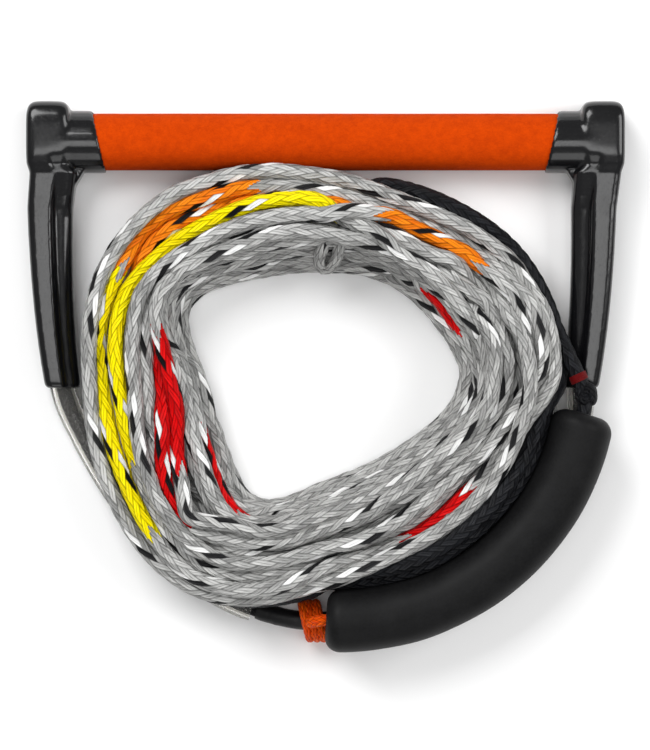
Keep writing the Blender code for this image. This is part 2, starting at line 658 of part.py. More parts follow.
def coil_section(angle):
    """The coil's outline across its turns, from the inside bottom corner round."""
    inner = periodic(COIL_OUTLINE, 1, angle) * MM
    outer = min(periodic(COIL_OUTLINE, 2, angle) * MM, coil_limit(angle))
    undercut, ledge = COIL_UNDERCUT
    shoulder, slope = COIL_SHOULDER
    profile = [
        (inner + 2 * MM, 0), (inner, 3 * MM), (inner, slope), (inner + shoulder, COIL_TOP - 1 * MM),
        (inner + shoulder + 4 * MM, COIL_TOP), (outer - COIL_ROUND - 3 * MM, COIL_TOP),
        (outer - COIL_ROUND / 3, COIL_TOP - COIL_ROUND / 3), (outer, COIL_TOP - COIL_ROUND - 3 * MM),
        (outer, ledge), (outer - undercut, ledge), (outer - undercut, 0),
    ]
    ux, uy = cos(angle), sin(angle)
    return [Vector((COIL_CENTRE[0] + ux * r, COIL_CENTRE[1] + uy * r, z)) for r, z in profile]


def build_coil(materials):
    sections = [coil_section(2 * pi * k / 60) for k in range(60)]
    mesh = rings_to_mesh("rope_coil", sections, closed=True)
    add_object("rope_coil", smooth(mesh), materials["grey_rope"])

    # The loop at the boat end is folded over the coil's inner shoulder at the top.
    shoulder, slope = COIL_SHOULDER
    inner = periodic(COIL_OUTLINE, 1, pi / 2) * MM
    rise = (COIL_TOP - slope) / shoulder
    lift = (ROPE_RADIUS + FIT) / hypot(1, rise)
    half = 8.0 * MM
    centre_x = 3.0 * MM
    line = []
    for along in (24.0, 20.0, 16.0, 12.0):
        line.append((-half * (1 + (along - 12) / 40), along * MM))
    for k in range(1, 8):
        turn = pi * k / 8
        line.append((-half * cos(turn), 12 * MM - half * 1.1 * sin(turn)))
    for along in (12.0, 16.0, 20.0, 24.0):
        line.append((half * (1 + (along - 12) / 40), along * MM))
    points = []
    for across, along in line:
        on_slope = min(along, shoulder)
        z = slope + rise * on_slope + lift + 1.4 * MM
        r = inner + along - lift * rise - 1.2 * MM
        points.append(Vector((centre_x + across, COIL_CENTRE[1] + r, min(z, COIL_TOP + ROPE_RADIUS + FIT))))
    rope("boat_end_loop", smooth_route(points, 4 * MM), ROPE_RADIUS, 2, materials["grey_rope"])


def main():
    clear_scene()
    colours = {
        "aluminium": ((0.75, 0.76, 0.78), 0.3, 1.0),
        "foam": ((0.85, 0.84, 0.8), 0.9, 0.0),
        "plug": ((0.12, 0.12, 0.12), 0.6, 0.0),
        "grip": ((0.8, 0.1, 0.01), 0.9, 0.0),
        "rubber": ((0.012, 0.012, 0.014), 0.25, 0.0),
        "bush": ((0.8, 0.8, 0.78), 0.4, 0.0),
        "black_rope": ((0.02, 0.02, 0.022), 0.7, 0.0),
        "clear": ((0.75, 0.78, 0.76), 0.1, 0.0),
        "shrink": ((0.01, 0.01, 0.011), 0.35, 0.0),
        "orange_rope": ((0.85, 0.13, 0.02), 0.6, 0.0),
        "float": ((0.03, 0.03, 0.033), 0.7, 0.0),
        "red_rope": ((0.7, 0.01, 0.02), 0.6, 0.0),
        "grey_rope": ((0.4, 0.4, 0.4), 0.5, 0.0),
    }
    materials = {name: make_material(name, *values) for name, values in colours.items()}
    build_bar(materials)
    build_bushes_and_knots(materials)
    build_caps(materials)
    build_bridle(materials)
    eye_end = build_eye(materials)
    build_float(materials)
    build_leader(materials, eye_end)
    build_coil(materials)


main()
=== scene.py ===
"""Looks of the water-ski tow handle: its braided line, foam, rubber and hose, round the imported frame."""
from math import atan2, cos, pi, radians, sin

import bpy
import numpy as np
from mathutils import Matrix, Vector


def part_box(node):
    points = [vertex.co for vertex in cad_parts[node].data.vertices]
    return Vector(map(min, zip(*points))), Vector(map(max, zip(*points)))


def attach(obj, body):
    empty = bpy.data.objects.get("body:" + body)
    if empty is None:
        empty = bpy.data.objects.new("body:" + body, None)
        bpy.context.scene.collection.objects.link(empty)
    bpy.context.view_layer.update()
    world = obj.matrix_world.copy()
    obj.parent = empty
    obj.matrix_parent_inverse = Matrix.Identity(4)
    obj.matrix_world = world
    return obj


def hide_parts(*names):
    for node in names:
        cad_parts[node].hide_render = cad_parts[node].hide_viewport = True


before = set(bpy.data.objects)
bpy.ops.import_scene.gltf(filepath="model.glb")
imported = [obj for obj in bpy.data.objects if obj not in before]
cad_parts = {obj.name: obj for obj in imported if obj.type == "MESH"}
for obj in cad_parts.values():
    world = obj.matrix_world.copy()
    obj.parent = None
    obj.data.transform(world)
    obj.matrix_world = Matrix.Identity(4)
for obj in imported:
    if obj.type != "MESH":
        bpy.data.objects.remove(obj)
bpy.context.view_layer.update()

MM = 0.001

# ---- sizes, mostly those of the CAD model; the coil's outline is a little wider in four places
ROPE_RADIUS = 4.0 * MM
HOSE_RADIUS = 7.5 * MM
HOSE_WALL = 1.9 * MM
SLEEVE_WALL = 0.9 * MM
LIFT = 0.1 * MM              # what rests on the floor stands this far above it
FIT = 0.3 * MM
BAR_Y = 131.0 * MM
ARM_END = -6.7 * MM
HOSE_INSERT = 22.0 * MM
KNOT_HALF_SPACING = 152.5 * MM
ARM_TOP_X, ARM_LEAN, ARM_BEND, ARM_SWAY = 152.0 * MM, 7.1 * MM, 2.6, 2.0 * MM
COLLAR_RADIUS = 17.5 * MM
BAR_Z = COLLAR_RADIUS
ARM_END_Z = 11.8 * MM
EYE_X, EYE_Y = -7.2 * MM, -137.35 * MM
EYE_STRAND = 3.2 * MM
EYE_RING = 9.0 * MM
EYE_Z = EYE_RING + EYE_STRAND + LIFT
FLOAT_CENTRE = (8.6 * MM, 0.6 * MM)
FLOAT_ARC = 136.7 * MM
FLOAT_RADIUS = 17.5 * MM
FLOAT_RIM = 8.0 * MM
FLOAT_BORE = 5.0 * MM
FLOAT_Z = 33.5 * MM
FLOAT_FROM, FLOAT_TO = radians(-93.5), radians(-8.6)
KNOT_RADIUS = 6.8 * MM
FLOAT_PLAY = 3.0 * MM
COIL_CENTRE = (-0.6 * MM, -5.9 * MM)
COIL_TOP = 42.0 * MM
COIL_UNDERCUT = (18.0 * MM, 15.8 * MM)
COIL_SHOULDER = (16.0 * MM, 20.0 * MM)
COIL_OUTLINE = (             # direction in degrees, inner and outer radius in mm
    (0, 77, 134), (30, 72, 134), (60, 69, 124), (90, 66, 120.5), (120, 72, 137), (150, 88, 142),
    (180, 65, 134), (210, 65, 137), (240, 74, 137), (270, 55, 116), (300, 51, 117), (330, 59, 122.5),
)
LEFT_HOSE_ROUTE = (
    (-143.8, -17.5, 1.0), (-138.6, -28.5, 0.0), (-131.6, -42.0, 0.0), (-123.8, -55.5, 0.0),
    (-115.8, -68.0, 0.0), (-108.0, -78.8, 0.0), (-92.5, -97.0, 0.0), (-74.0, -112.6, 0.0),
    (-55.0, -124.6, 0.0), (-38.0, -131.6, 0.6),
)
NOSE_ROUTE = ((-26.0, -135.0, 1.6), (-14.0, -137.1, 0.1), (-2.0, -137.4, 0.3), (9.0, -136.4, 2.7))
RIGHT_HOSE_ROUTE = ((143.2, -18.5, 0.9),)
TAIL_ROUTE = ((141.4, -2.6, 1.1), (139.4, 2.2, 0.9), (137.0, 7.2, 0.5), (134.6, 11.8, -0.1))

# ---- the line
LINE_WIDTH, LINE_HEIGHT = 8.6 * MM, 7.5 * MM     # the hollow braid lies slightly flat
LINE_STEP = 6.0 * MM
BRAID_PITCH = 90.0 * MM      # one turn of a strand round the rope
STATIONS = 24                # steering points in one turn
LINE_CEILING = 53.5 * MM     # the highest that a turn's middle may lie
TURN_RISE = 0.9              # mm that each shown turn starts above the one before
LANE_WANDER = 0.09           # how far a hidden turn strays, as a share of the coil's width
SETTLE_STEPS = 320
BEND_STIFFNESS = 0.35        # how far a point moves to the middle of its neighbours in one step
SINK = 0.12 * MM             # how far the rope sinks in one step, at first
TURN_FIRM, HIDDEN_FIRM, LEADER_FIRM = 0.12, 0.015, 0.3   # how firmly each keeps its distance out
LEADER_HOLD = 0.2            # how firmly the leader keeps its height
TOUCH_PUSH = 0.32            # the share of an overlap that each of two ropes gives way


# ---- lines
def smooth_line(points, step):
    """A smooth curve through the points (centripetal Catmull-Rom), read at an even step."""
    knots = np.array(points, dtype=float)
    knots = np.vstack([2 * knots[0] - knots[1], knots, 2 * knots[-1] - knots[-2]])
    a, b, c, d = knots[:-3], knots[1:-2], knots[2:-1], knots[3:]
    t1 = np.sqrt(np.linalg.norm(b - a, axis=1))
    t2 = t1 + np.sqrt(np.linalg.norm(c - b, axis=1))
    t3 = t2 + np.sqrt(np.linalg.norm(d - c, axis=1))
    parts = []
    for k in range(12):
        t = t1 + (t2 - t1) * k / 12
        shares = (t / t1, (t - t1) / (t2 - t1), (t - t2) / (t3 - t2), t / t2, (t - t1) / (t3 - t1))
        to_b, to_c, to_d, to_c_from_a, to_d_from_b = (share[:, None] for share in shares)
        ab, bc, cd = a + (b - a) * to_b, b + (c - b) * to_c, c + (d - c) * to_d
        abc, bcd = ab + (bc - ab) * to_c_from_a, bc + (cd - bc) * to_d_from_b
        parts.append(abc + (bcd - abc) * to_c)
    dense = np.stack(parts, axis=1).reshape(-1, knots.shape[1])
    return resampled(np.vstack([dense, knots[-2]]), step)


def lengths_of(line):
    return np.concatenate([[0.0], np.cumsum(np.linalg.norm(np.diff(line, axis=0), axis=1))])


def read_at(marks, along, values):
    """The columns of values, known at these lengths along, at other lengths."""
    return np.stack([np.interp(marks, along, column) for column in values.T], axis=1)


def resampled(line, step):
    along = lengths_of(line)
    count = max(2, int(round(along[-1] / step)))
    return read_at(np.linspace(0, along[-1], count + 1), along, line)


def tangents_of(line):
    ahead = np.vstack([line[1:], line[-1]])
    behind = np.vstack([line[0], line[:-1]])
    return unit(ahead - behind)


def unit(vectors):
    return vectors / np.maximum(np.linalg.norm(vectors, axis=-1, keepdims=True), 1e-12)


def level_frames(line):
    """Axes across the line: one level, the other as near to upright as the line allows."""
    tangent = tangents_of(line)
    side = unit(np.cross(tangent, [0.0, 0.0, 1.0]))
    return side, np.cross(side, tangent)


def carried_frames(line):
    """Axes across the line that never turn about it, for a line that may run upright."""
    tangent = tangents_of(line)
    side = np.cross([0.0, 0.0, 1.0], tangent[0])
    if np.linalg.norm(side) < 0.1:
        side = np.cross([1.0, 0.0, 0.0], tangent[0])
    sides = []
    for row in tangent:
        side = unit(side - row * np.dot(side, row))
        sides.append(side)
    sides = np.array(sides)
    return sides, np.cross(tangent, sides)


# ---- meshes
def link(name, mesh, materials):
    for material in materials:
        mesh.materials.append(material)
    item = bpy.data.objects.new(name, mesh)
    bpy.context.scene.collection.objects.link(item)
    return item


def add_map(mesh, name, uv):
    layer = mesh.uv_layers.new(name=name)
    layer.data.foreach_set("uv", uv.ravel().astype(np.float32))


def grid_mesh(name, rows, uvs=None, strips=1, ring=False):
    """A rod with flat ends through rows of points, or with ring=True a loop of them back to the first row.

    uvs gives the braid's map: u of each row and v of each column. The bake map lays the faces out
    in this many strips, with the two ends above them.
    """
    rows = np.asarray(rows)
    count, around = rows.shape[:2]
    gi, gj = np.meshgrid(np.arange(count if ring else count - 1), np.arange(around), indexing="ij")
    ni, nj = (gi + 1) % count, (gj + 1) % around
    here, there = gi * around, ni * around
    corners = np.stack([here + gj, here + nj, there + nj, there + gj], axis=-1).ravel()
    starts = 4 * np.arange(gi.size)
    if not ring:
        end = np.arange(around)
        corners = np.concatenate([corners, end[::-1], (count - 1) * around + end])
        starts = np.append(starts, [4 * gi.size, 4 * gi.size + around])
    mesh = bpy.data.meshes.new(name)
    mesh.vertices.add(count * around)
    mesh.vertices.foreach_set("co", rows.ravel())
    mesh.loops.add(len(corners))
    mesh.loops.foreach_set("vertex_index", corners.astype(np.int32))
    mesh.polygons.add(len(starts))
    mesh.polygons.foreach_set("loop_start", starts.astype(np.int32))

    row = np.stack([gi, gi, gi + 1, gi + 1], axis=-1).reshape(-1, 4)
    column = np.stack([gj, gj + 1, gj + 1, gj], axis=-1).reshape(-1, 4)
    strip_rows = int(np.ceil(len(gi) / strips))
    strip = row[:, :1] // strip_rows
    bake = [np.stack([0.004 + 0.992 * (row - strip * strip_rows) / strip_rows,
            (strip + 0.05 + 0.9 * column / around) / (strips + 1)], axis=-1).reshape(-1, 2)]
    turn = np.arange(around) / around * 2 * pi
    ends = () if ring else (0, count - 1)
    for k in range(len(ends)):
        bake.append(np.stack([0.1 + 0.1 * k + 0.03 * np.cos(turn),
                (strips + 0.5 + 0.4 * np.sin(turn)) / (strips + 1)], axis=-1))
    if uvs is not None:
        row_u, column_v = uvs
        row_u = np.append(row_u, 2 * row_u[-1] - row_u[-2])
        braid = [np.stack([row_u[row], column_v[column]], axis=-1).reshape(-1, 2)]
        for end in ends:
            braid.append(np.stack([np.full(around, row_u[end]), np.arange(around) / around], axis=-1))
        add_map(mesh, "braid", np.vstack(braid))
    add_map(mesh, "OFBake", np.vstack(bake))
    mesh.update(calc_edges=True)
    mesh.validate()
    mesh.shade_smooth()
    return mesh


STRANDS = 8                      # each way round the rope


def strand_cells(turns, share):
    """The crossing that a place on the braid belongs to: exact and whole numbers of both ways' strands."""
    a, b = STRANDS * (share - turns), STRANDS * (share + turns)
    i, j = np.round(a), np.round(b)
    return a, b, i, j, np.mod(i + j, 4)


def braid_height(turns, share):
    """Height of the braid's top strand, 0 in the gaps and 1 on a crown; over two, under two."""
    a, b, i, j, order = strand_cells(turns, share)
    first = order < 1.5
    across = np.where(first, a - i, b - j)
    along = np.where(first, b - j, a - i) + np.where((order == 0) | (order == 2), -0.5, 0.5)
    return np.sqrt(np.clip(1 - (1.9 * across) ** 2, 0, 1)) * (1 - 0.75 * np.abs(along) ** 2.4)


def strand_places(along, around):
    """How far along the line the visible strand's middle lies, for each face of a braided piece."""
    share = (np.arange(around) + 0.5) / around + slow_turning(along)[:, None]
    _, _, i, j, order = strand_cells((along / BRAID_PITCH)[:, None], share)
    half = np.where(np.mod(order, 2) < 0.5, 0.5, -0.5)
    middle = np.where(order < 1.5, j + half - i, j - i - half)
    return middle / (2 * STRANDS) * BRAID_PITCH


def stands_for(item, node, body="handle"):
    """Hangs a piece on the body it rides, and hides the CAD node that it stands for."""
    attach(item, body)
    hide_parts(node)


def braided(name, line, materials, width=2 * ROPE_RADIUS, height=None, pitch=BRAID_PITCH,
        step=1.3 * MM, around=20, start=0.0, relief=0.7 * MM, level=True, turning=None, strips=1,
        ring=False):
    """A hollow-braid rope along a line. start is how far along its rope the piece begins."""
    height = width if height is None else height
    line = resampled(np.asarray(line), step)
    if ring:
        line = line[:-1]
    side, up = level_frames(line) if level else carried_frames(line)
    along = start + np.arange(len(line)) * step
    turns = along / pitch
    share = np.arange(around) / around
    phase = np.zeros(len(line)) if turning is None else turning(along)
    crown = braid_height(turns[:, None], share[None, :] + phase[:, None])
    reach = 1.0 + (crown - 0.55) * relief / (0.5 * height)
    turn = 2 * pi * share[None, :]
    rows = (line[:, None, :]
            + side[:, None, :] * (np.cos(turn) * 0.5 * width * reach)[:, :, None]
            + up[:, None, :] * (np.sin(turn) * 0.5 * height * reach)[:, :, None])
    mesh = grid_mesh(name, rows, uvs=(turns, np.arange(around + 1) / around), strips=strips, ring=ring)
    if turning is not None:
        # The strands' map runs with the turning, so each row carries its own start round the rope.
        layer = mesh.uv_layers["braid"]
        uv = np.empty(len(mesh.loops) * 2, dtype=np.float32)
        layer.data.foreach_get("uv", uv)
        uv = uv.reshape(-1, 2)
        uv[:, 1] += turning(uv[:, 0] * pitch)
        layer.data.foreach_set("uv", uv.ravel())
    return link(name, mesh, materials), line


# ---- shader graphs
class Graph:
    """Small helper to write a material's nodes as expressions."""

    def __init__(self, name, roughness, metallic=0.0, **constants):
        self.material = bpy.data.materials.new(name)
        self.material.use_nodes = True
        self.tree = self.material.node_tree
        self.shader = self.tree.nodes["Principled BSDF"]
        self.shader.inputs["Roughness"].default_value = roughness
        self.shader.inputs["Metallic"].default_value = metallic
        for key, value in constants.items():
            self.shader.inputs[key.replace("_", " ")].default_value = value

    def node(self, kind, *values, **settings):
        """A node with these settings, and these values on its first sockets."""
        item = self.tree.nodes.new(kind)
        for key, value in settings.items():
            setattr(item, key, value)
        for socket, value in zip(item.inputs, values):
            self.feed(socket, value)
        return item

    def feed(self, socket, value):
        if isinstance(value, bpy.types.NodeSocket):
            self.tree.links.new(value, socket)
        else:
            socket.default_value = value

    def math(self, operation, *values):
        return self.node("ShaderNodeMath", *values, operation=operation).outputs[0]

    def plus(self, a, b):
        return self.math("ADD", a, b)

    def minus(self, a, b):
        return self.math("SUBTRACT", a, b)

    def times(self, a, b):
        return self.math("MULTIPLY", a, b)

    def scaled(self, value, by, more):
        return self.math("MULTIPLY_ADD", value, by, more)

    def choose(self, test, yes, no):
        """yes where test is 1 and no where it is 0."""
        return self.scaled(test, self.minus(yes, no), no)

    def mix(self, factor, a, b):
        item = self.node("ShaderNodeMix", data_type="RGBA")
        self.feed(item.inputs[0], factor)
        self.feed(item.inputs[6], a if isinstance(a, bpy.types.NodeSocket) else (*a, 1.0))
        self.feed(item.inputs[7], b if isinstance(b, bpy.types.NodeSocket) else (*b, 1.0))
        return item.outputs[2]

    def remap(self, value, low, high, to_low=0.0, to_high=1.0):
        """From one range to another, with soft ends."""
        item = self.node("ShaderNodeMapRange", value, low, high, to_low, to_high,
                interpolation_type="SMOOTHSTEP")
        return item.outputs[0]

    def point(self, *values):
        return self.node("ShaderNodeCombineXYZ", *values).outputs[0]

    def place(self):
        return self.node("ShaderNodeTexCoord").outputs["Object"]

    def map(self, name):
        uv = self.node("ShaderNodeUVMap", uv_map=name).outputs[0]
        return self.node("ShaderNodeSeparateXYZ", uv).outputs[:2]

    def noise(self, vector, scale, detail=2.0, rough=0.5):
        item = self.node("ShaderNodeTexNoise", vector)
        for key, value in (("Scale", scale), ("Detail", detail), ("Roughness", rough)):
            item.inputs[key].default_value = value
        return item.outputs[0]

    def pores(self, vector, scale):
        item = self.node("ShaderNodeTexVoronoi", vector)
        item.inputs["Scale"].default_value = scale
        return item.outputs["Distance"]

    def finish(self, colour=None, roughness=None, height=None, distance=0.2 * MM, strength=1.0):
        if colour is not None:
            self.feed(self.shader.inputs["Base Color"], colour)
        if roughness is not None:
            self.feed(self.shader.inputs["Roughness"], roughness)
        if height is not None:
            bump = self.node("ShaderNodeBump")
            bump.inputs["Strength"].default_value = strength
            bump.inputs["Distance"].default_value = distance
            self.feed(bump.inputs["Height"], height)
            self.feed(self.shader.inputs["Normal"], bump.outputs[0])
        return self.material


BLACK_STRAND = (0.004, 0.004, 0.005)
WHITE_STRAND = (0.88, 0.88, 0.87)


def rope_material(name, light, dark, tracers=True, specular=0.24):
    """Braided polypropylene: two-over-two strands, each of two yarns, with a black and a white tracer."""
    g = Graph(name, 0.42, Specular_IOR_Level=specular)
    turns, share = g.map("braid")
    a = g.times(g.minus(share, turns), float(STRANDS))
    b = g.times(g.plus(share, turns), float(STRANDS))
    i, j = g.math("ROUND", a), g.math("ROUND", b)
    order = g.math("FLOORED_MODULO", g.plus(i, j), 4.0)
    first = g.math("LESS_THAN", order, 1.5)
    from_i, from_j = g.minus(a, i), g.minus(b, j)
    across = g.choose(first, from_i, from_j)
    early = g.math("LESS_THAN", g.math("FLOORED_MODULO", order, 2.0), 0.5)
    along = g.plus(g.choose(first, from_j, from_i), g.choose(early, -0.5, 0.5))
    # The height across a strand is a half circle, and it tapers towards the strand's ends.
    squared = g.math("POWER", g.math("ABSOLUTE", g.times(across, 1.96)), 2.0)
    half_circle = g.math("SQRT", g.math("MAXIMUM", g.minus(1.0, squared), 0.0))
    taper = g.minus(1.0, g.times(g.math("POWER", g.math("ABSOLUTE", along), 2.4), 0.72))
    crown = g.times(half_circle, taper)
    strand_i = g.math("FLOORED_MODULO", i, float(STRANDS))
    strand_j = g.math("FLOORED_MODULO", j, float(STRANDS))
    strand = g.choose(first, strand_i, g.plus(strand_j, 10.0))
    groove = g.remap(g.math("ABSOLUTE", across), 0.0, 0.1)
    cell = g.point(g.choose(first, i, g.times(j, 1.7)), g.choose(first, j, i), order)
    shade = g.node("ShaderNodeTexWhiteNoise", cell, noise_dimensions="3D")
    own_place = g.plus(g.times(i, 3.1), g.times(j, 5.3))
    fibre = g.noise(g.point(g.times(across, 9.0), g.times(along, 0.8), own_place), 1.6, 3.0, 0.6)
    # The tone is a random tone for each strand plus lengthwise fibre streaks; the streaks are partly the
    # yarn's own tone and partly painted sheen
    tone = g.plus(g.times(shade.outputs[0], 0.42), g.times(fibre, 0.85))
    colour = g.mix(g.remap(tone, 0.28, 0.92), dark, light)
    # Painted shade in the groove between a strand's two yarns: the colour drops to 0.7 there; tracer strands
    # get none
    yarn_groove_shade = g.scaled(groove, 0.3, 0.7)
    if tracers:
        on_black = g.math("COMPARE", strand, 0.0, 0.1)
        on_white = g.math("COMPARE", strand, 1.0, 0.1)
        colour = g.mix(on_black, colour, BLACK_STRAND)
        colour = g.mix(on_white, colour, WHITE_STRAND)
        yarn_groove_shade = g.math("MAXIMUM", yarn_groove_shade, g.math("MAXIMUM", on_black, on_white))
    # Painted shade: where a strand's crown is low, in the gaps between strands and at a strand's ends, the
    # colour is mixed towards a very dark shade of the dark tone
    gap = g.times(g.remap(crown, 0.0, 0.6, 0.16, 1.0), yarn_groove_shade)
    colour = g.mix(gap, [c * 0.16 for c in dark], colour)
    height = g.plus(g.times(crown, g.scaled(groove, 0.25, 0.75)), g.times(fibre, 0.16))
    return g.finish(colour, g.scaled(fibre, 0.25, 0.42 - 0.08), height, distance=1.3 * MM)


# ---- the coil
def outline(column, degrees):
    """A smooth closed curve through one column of the coil's outline."""
    table = np.array(COIL_OUTLINE)[:, column] * MM
    count = len(table)
    place = np.mod(np.asarray(degrees) / 360.0, 1.0) * count
    base = np.floor(place).astype(int)
    t = place - base
    a, b, c, d = (table[(base + k) % count] for k in (-1, 0, 1, 2))
    return 0.5 * (2 * b + (c - a) * t + (2 * a - 5 * b + 4 * c - d) * t ** 2
            + (3 * b - a - 3 * c + d) * t ** 3)


def outer_edge(degrees):
    """The coil's outer radius, kept clear of the float's inner edge."""
    turn = np.radians(degrees)
    ux, uy = np.cos(turn), np.sin(turn)
    ox, oy = FLOAT_CENTRE[0] - COIL_CENTRE[0], FLOAT_CENTRE[1] - COIL_CENTRE[1]
    inner = FLOAT_ARC - FLOAT_RADIUS - 0.8 * MM
    dot = ux * ox + uy * oy
    reach = dot + np.sqrt(dot ** 2 + inner ** 2 - ox ** 2 - oy ** 2)
    at = np.arctan2(COIL_CENTRE[1] + uy * reach - FLOAT_CENTRE[1],
            COIL_CENTRE[0] + ux * reach - FLOAT_CENTRE[0])
    beside = (at > FLOAT_FROM - 0.02) & (at < FLOAT_TO + 0.02)
    return np.where(beside, np.minimum(outline(2, degrees), reach), outline(2, degrees))


def section_limits(degrees, height):
    """The inner and outer radius that the line's middle may have at this height."""
    inner, outer = outline(1, degrees), outer_edge(degrees)
    shoulder, slope = COIL_SHOULDER
    rise = np.clip((height - slope + 2 * MM) / (COIL_TOP - slope), 0.0, 1.0)
    undercut, ledge = COIL_UNDERCUT
    under = np.clip((ledge + 0.5 * LINE_HEIGHT - height) / (2 * MM), 0.0, 1.0)
    half = 0.5 * LINE_WIDTH
    return inner + half + 0.8 * shoulder * rise, outer - half - undercut * under


# Each turn that shows, from the lowest up: how far out it lies at every 15 degrees from 0,
# in percent of the way from the coil's inner edge to its outer edge.
SHOWN_TURNS = (
    (50, 52, 50, 46, 44, 50, 56, 66, 70, 73, 68, 62, 60, 58, 56, 56, 56, 55, 54, 52, 50, 46, 40, 46),
    (7, 8, 8, 12, 20, 30, 50, 47, 38, 35, 37, 40, 47, 53, 56, 57, 58, 58, 57, 52, 46, 42, 38, 44),
    (55, 60, 56, 45, 38, 48, 64, 50, 36, 33, 37, 42, 47, 50, 52, 52, 51, 50, 48, 44, 38, 34, 30, 36),
    (42, 44, 42, 35, 28, 24, 24, 22, 20, 19, 22, 30, 36, 42, 52, 57, 40, 38, 36, 33, 30, 26, 22, 28),
    (33, 32, 30, 24, 16, 14, 16, 14, 12, 12, 30, 25, 27, 36, 46, 52, 30, 28, 26, 24, 22, 18, 14, 20),
    (24, 22, 18, 14, 8, 6, 8, 10, 5, 5, 10, 14, 15, 17, 18, 19, 20, 18, 17, 15, 13, 10, 8, 12),
    (14, 12, 20, 14, 24, 28, 33, 35, 28, 24, 20, 10, 5, 6, 12, 4, 5, 6, 7, 6, 5, 6, 6, 8),
    (8, 9, 10, 17, 24, 46, 69, 67, 60, 57, 62, 70, 71.5, 68, 70, 72, 75, 74, 73, 64, 60, 55, 50, 58),
    (66, 70, 64, 60, 58, 60, 55, 50, 46, 42, 48, 53, 58, 62, 62, 62, 62, 62, 62, 58, 52, 46, 42, 55),
    (77, 80, 76, 72, 67, 70, 82, 80, 80, 87, 80, 87, 85, 82, 81, 83, 85, 84, 83, 74, 68, 67, 66, 70),
    (86, 90, 85, 82, 77, 84, 93, 93, 90, 100, 93, 96, 96, 95, 94, 95, 95, 94, 93, 82, 78, 77, 76, 72),
)
HIDDEN_LAYERS = (4, 4, 5, 6, 4)   # lanes in each layer of turns below, from the floor up
# The line's end at every 15 degrees from 0: how far out, and how far below the top turns.
LINE_END = ((.66, 0.0), (.63, 1.0), (.60, 3.0), (.57, 6.0), (.55, 9.0), (.56, 10.0))
# Lengths of coloured line: which shown turn, from and to in degrees, and the colour.
COLOURED = (
    (0, 98, 156, "orange"), (9, 108, 148, "orange"), (9, 151, 222, "yellow"), (7, 83, 204, "yellow"),
    (8, 38, 72, "orange"), (2, 74, 98, "orange"), (3, 156, 226, "red"), (4, 160, 205, "red"),
    (6, 207, 240, "red"), (1, 26, 48, "red"), (9, 299, 326, "red"),
)

# The leader's turns: direction in degrees, how far out, and height in mm.
LEADER_STATIONS = (
    (14, 1.01, 33), (30, 1.0, 33), (42, 1.01, 37), (52, 1.01, 40), (60, 1.0, 40), (69, .94, 35),
    (78, .85, 27), (90, .80, 22), (120, .90, 24), (150, .90, 24), (180, .90, 24), (210, .90, 24),
    (240, .92, 25), (262, .94, 28), (278, .97, 33), (292, .99, 37), (306, 1.0, 38), (320, 1.0, 38),
    (335, 1.0, 38), (350, 1.0, 36), (364, .97, 31), (378, .93, 26), (395, .86, 22), (420, .84, 20),
    (450, .84, 20), (480, .86, 20), (510, .86, 20), (540, .86, 20), (570, .86, 20), (600, .86, 21),
    (625, .86, 27), (640, .87, 35), (654, .88, 42), (668, .885, 44), (682, .89, 44), (696, .90, 43),
    (708, .91, 40), (722, .88, 33), (738, .82, 26), (752, .78, 20),
)


def first_guess():
    """The main line before it settles: turns below in layers, then the ones that show."""
    rng = np.random.default_rng(11)
    degrees = np.arange(STATIONS) * (360.0 / STATIONS)
    rows = []
    height = 0.5 * LINE_HEIGHT + LIFT
    for level, lanes in enumerate(HIDDEN_LAYERS):
        order = range(lanes) if level % 2 else range(lanes - 1, -1, -1)
        for lane in order:
            sizes = rng.normal(0, LANE_WANDER, 6)
            wander = sum(size * np.cos(np.radians(degrees) * (k // 2 + 1) + k * 1.3)
                         for k, size in enumerate(sizes))
            share = np.clip((lane + 0.5) / lanes + wander, 0.0, 1.0)
            low, high = section_limits(degrees, height)
            rows.append(np.stack([low + share * (high - low), np.full(STATIONS, height)], axis=1))
        height += LINE_HEIGHT
    shown_from = len(rows)
    for index, share in enumerate(SHOWN_TURNS):
        rows.append(on_top(degrees, np.array(share) / 100, (1.0 + TURN_RISE * index) * MM))
    share, below = np.array(LINE_END).T
    rows.append(on_top(degrees[:len(share)], share, (1.0 + TURN_RISE * len(SHOWN_TURNS) - below) * MM))
    return np.vstack(rows), shown_from


def on_top(degrees, share, rise):
    """Radius and height of a turn that lies on the coil's top, this far out and this much above it."""
    inner, outer = outline(1, degrees), outer_edge(degrees)
    shoulder, slope = COIL_SHOULDER
    radius = np.clip(inner + share * (outer - inner), inner + 3 * MM, outer - 3.6 * MM)
    top = slope + (COIL_TOP - slope) * np.clip((radius - inner) / shoulder, 0.0, 1.0)
    return np.stack([radius, top + rise], axis=1)


def steered(rows):
    """Rows of (radius, height), one for each station, as points."""
    turn = np.radians(np.arange(len(rows)) * 360.0 / STATIONS)
    x = COIL_CENTRE[0] + rows[:, 0] * np.cos(turn)
    y = COIL_CENTRE[1] + rows[:, 0] * np.sin(turn)
    return np.stack([x, y, rows[:, 1]], axis=1)


def near_pairs(points, reach):
    """Pairs of points nearer than reach that aren't next to each other on one line."""
    found = []
    squared = (points ** 2).sum(axis=1)
    for low in range(0, len(points), 512):
        block = points[low:low + 512]
        gap = squared[low:low + 512, None] + squared[None, :] - 2 * block @ points.T
        i, j = np.nonzero(gap < reach ** 2)
        i = i + low
        keep = j - i > 5
        found.append(np.stack([i[keep], j[keep]], axis=1))
    return np.vstack(found)


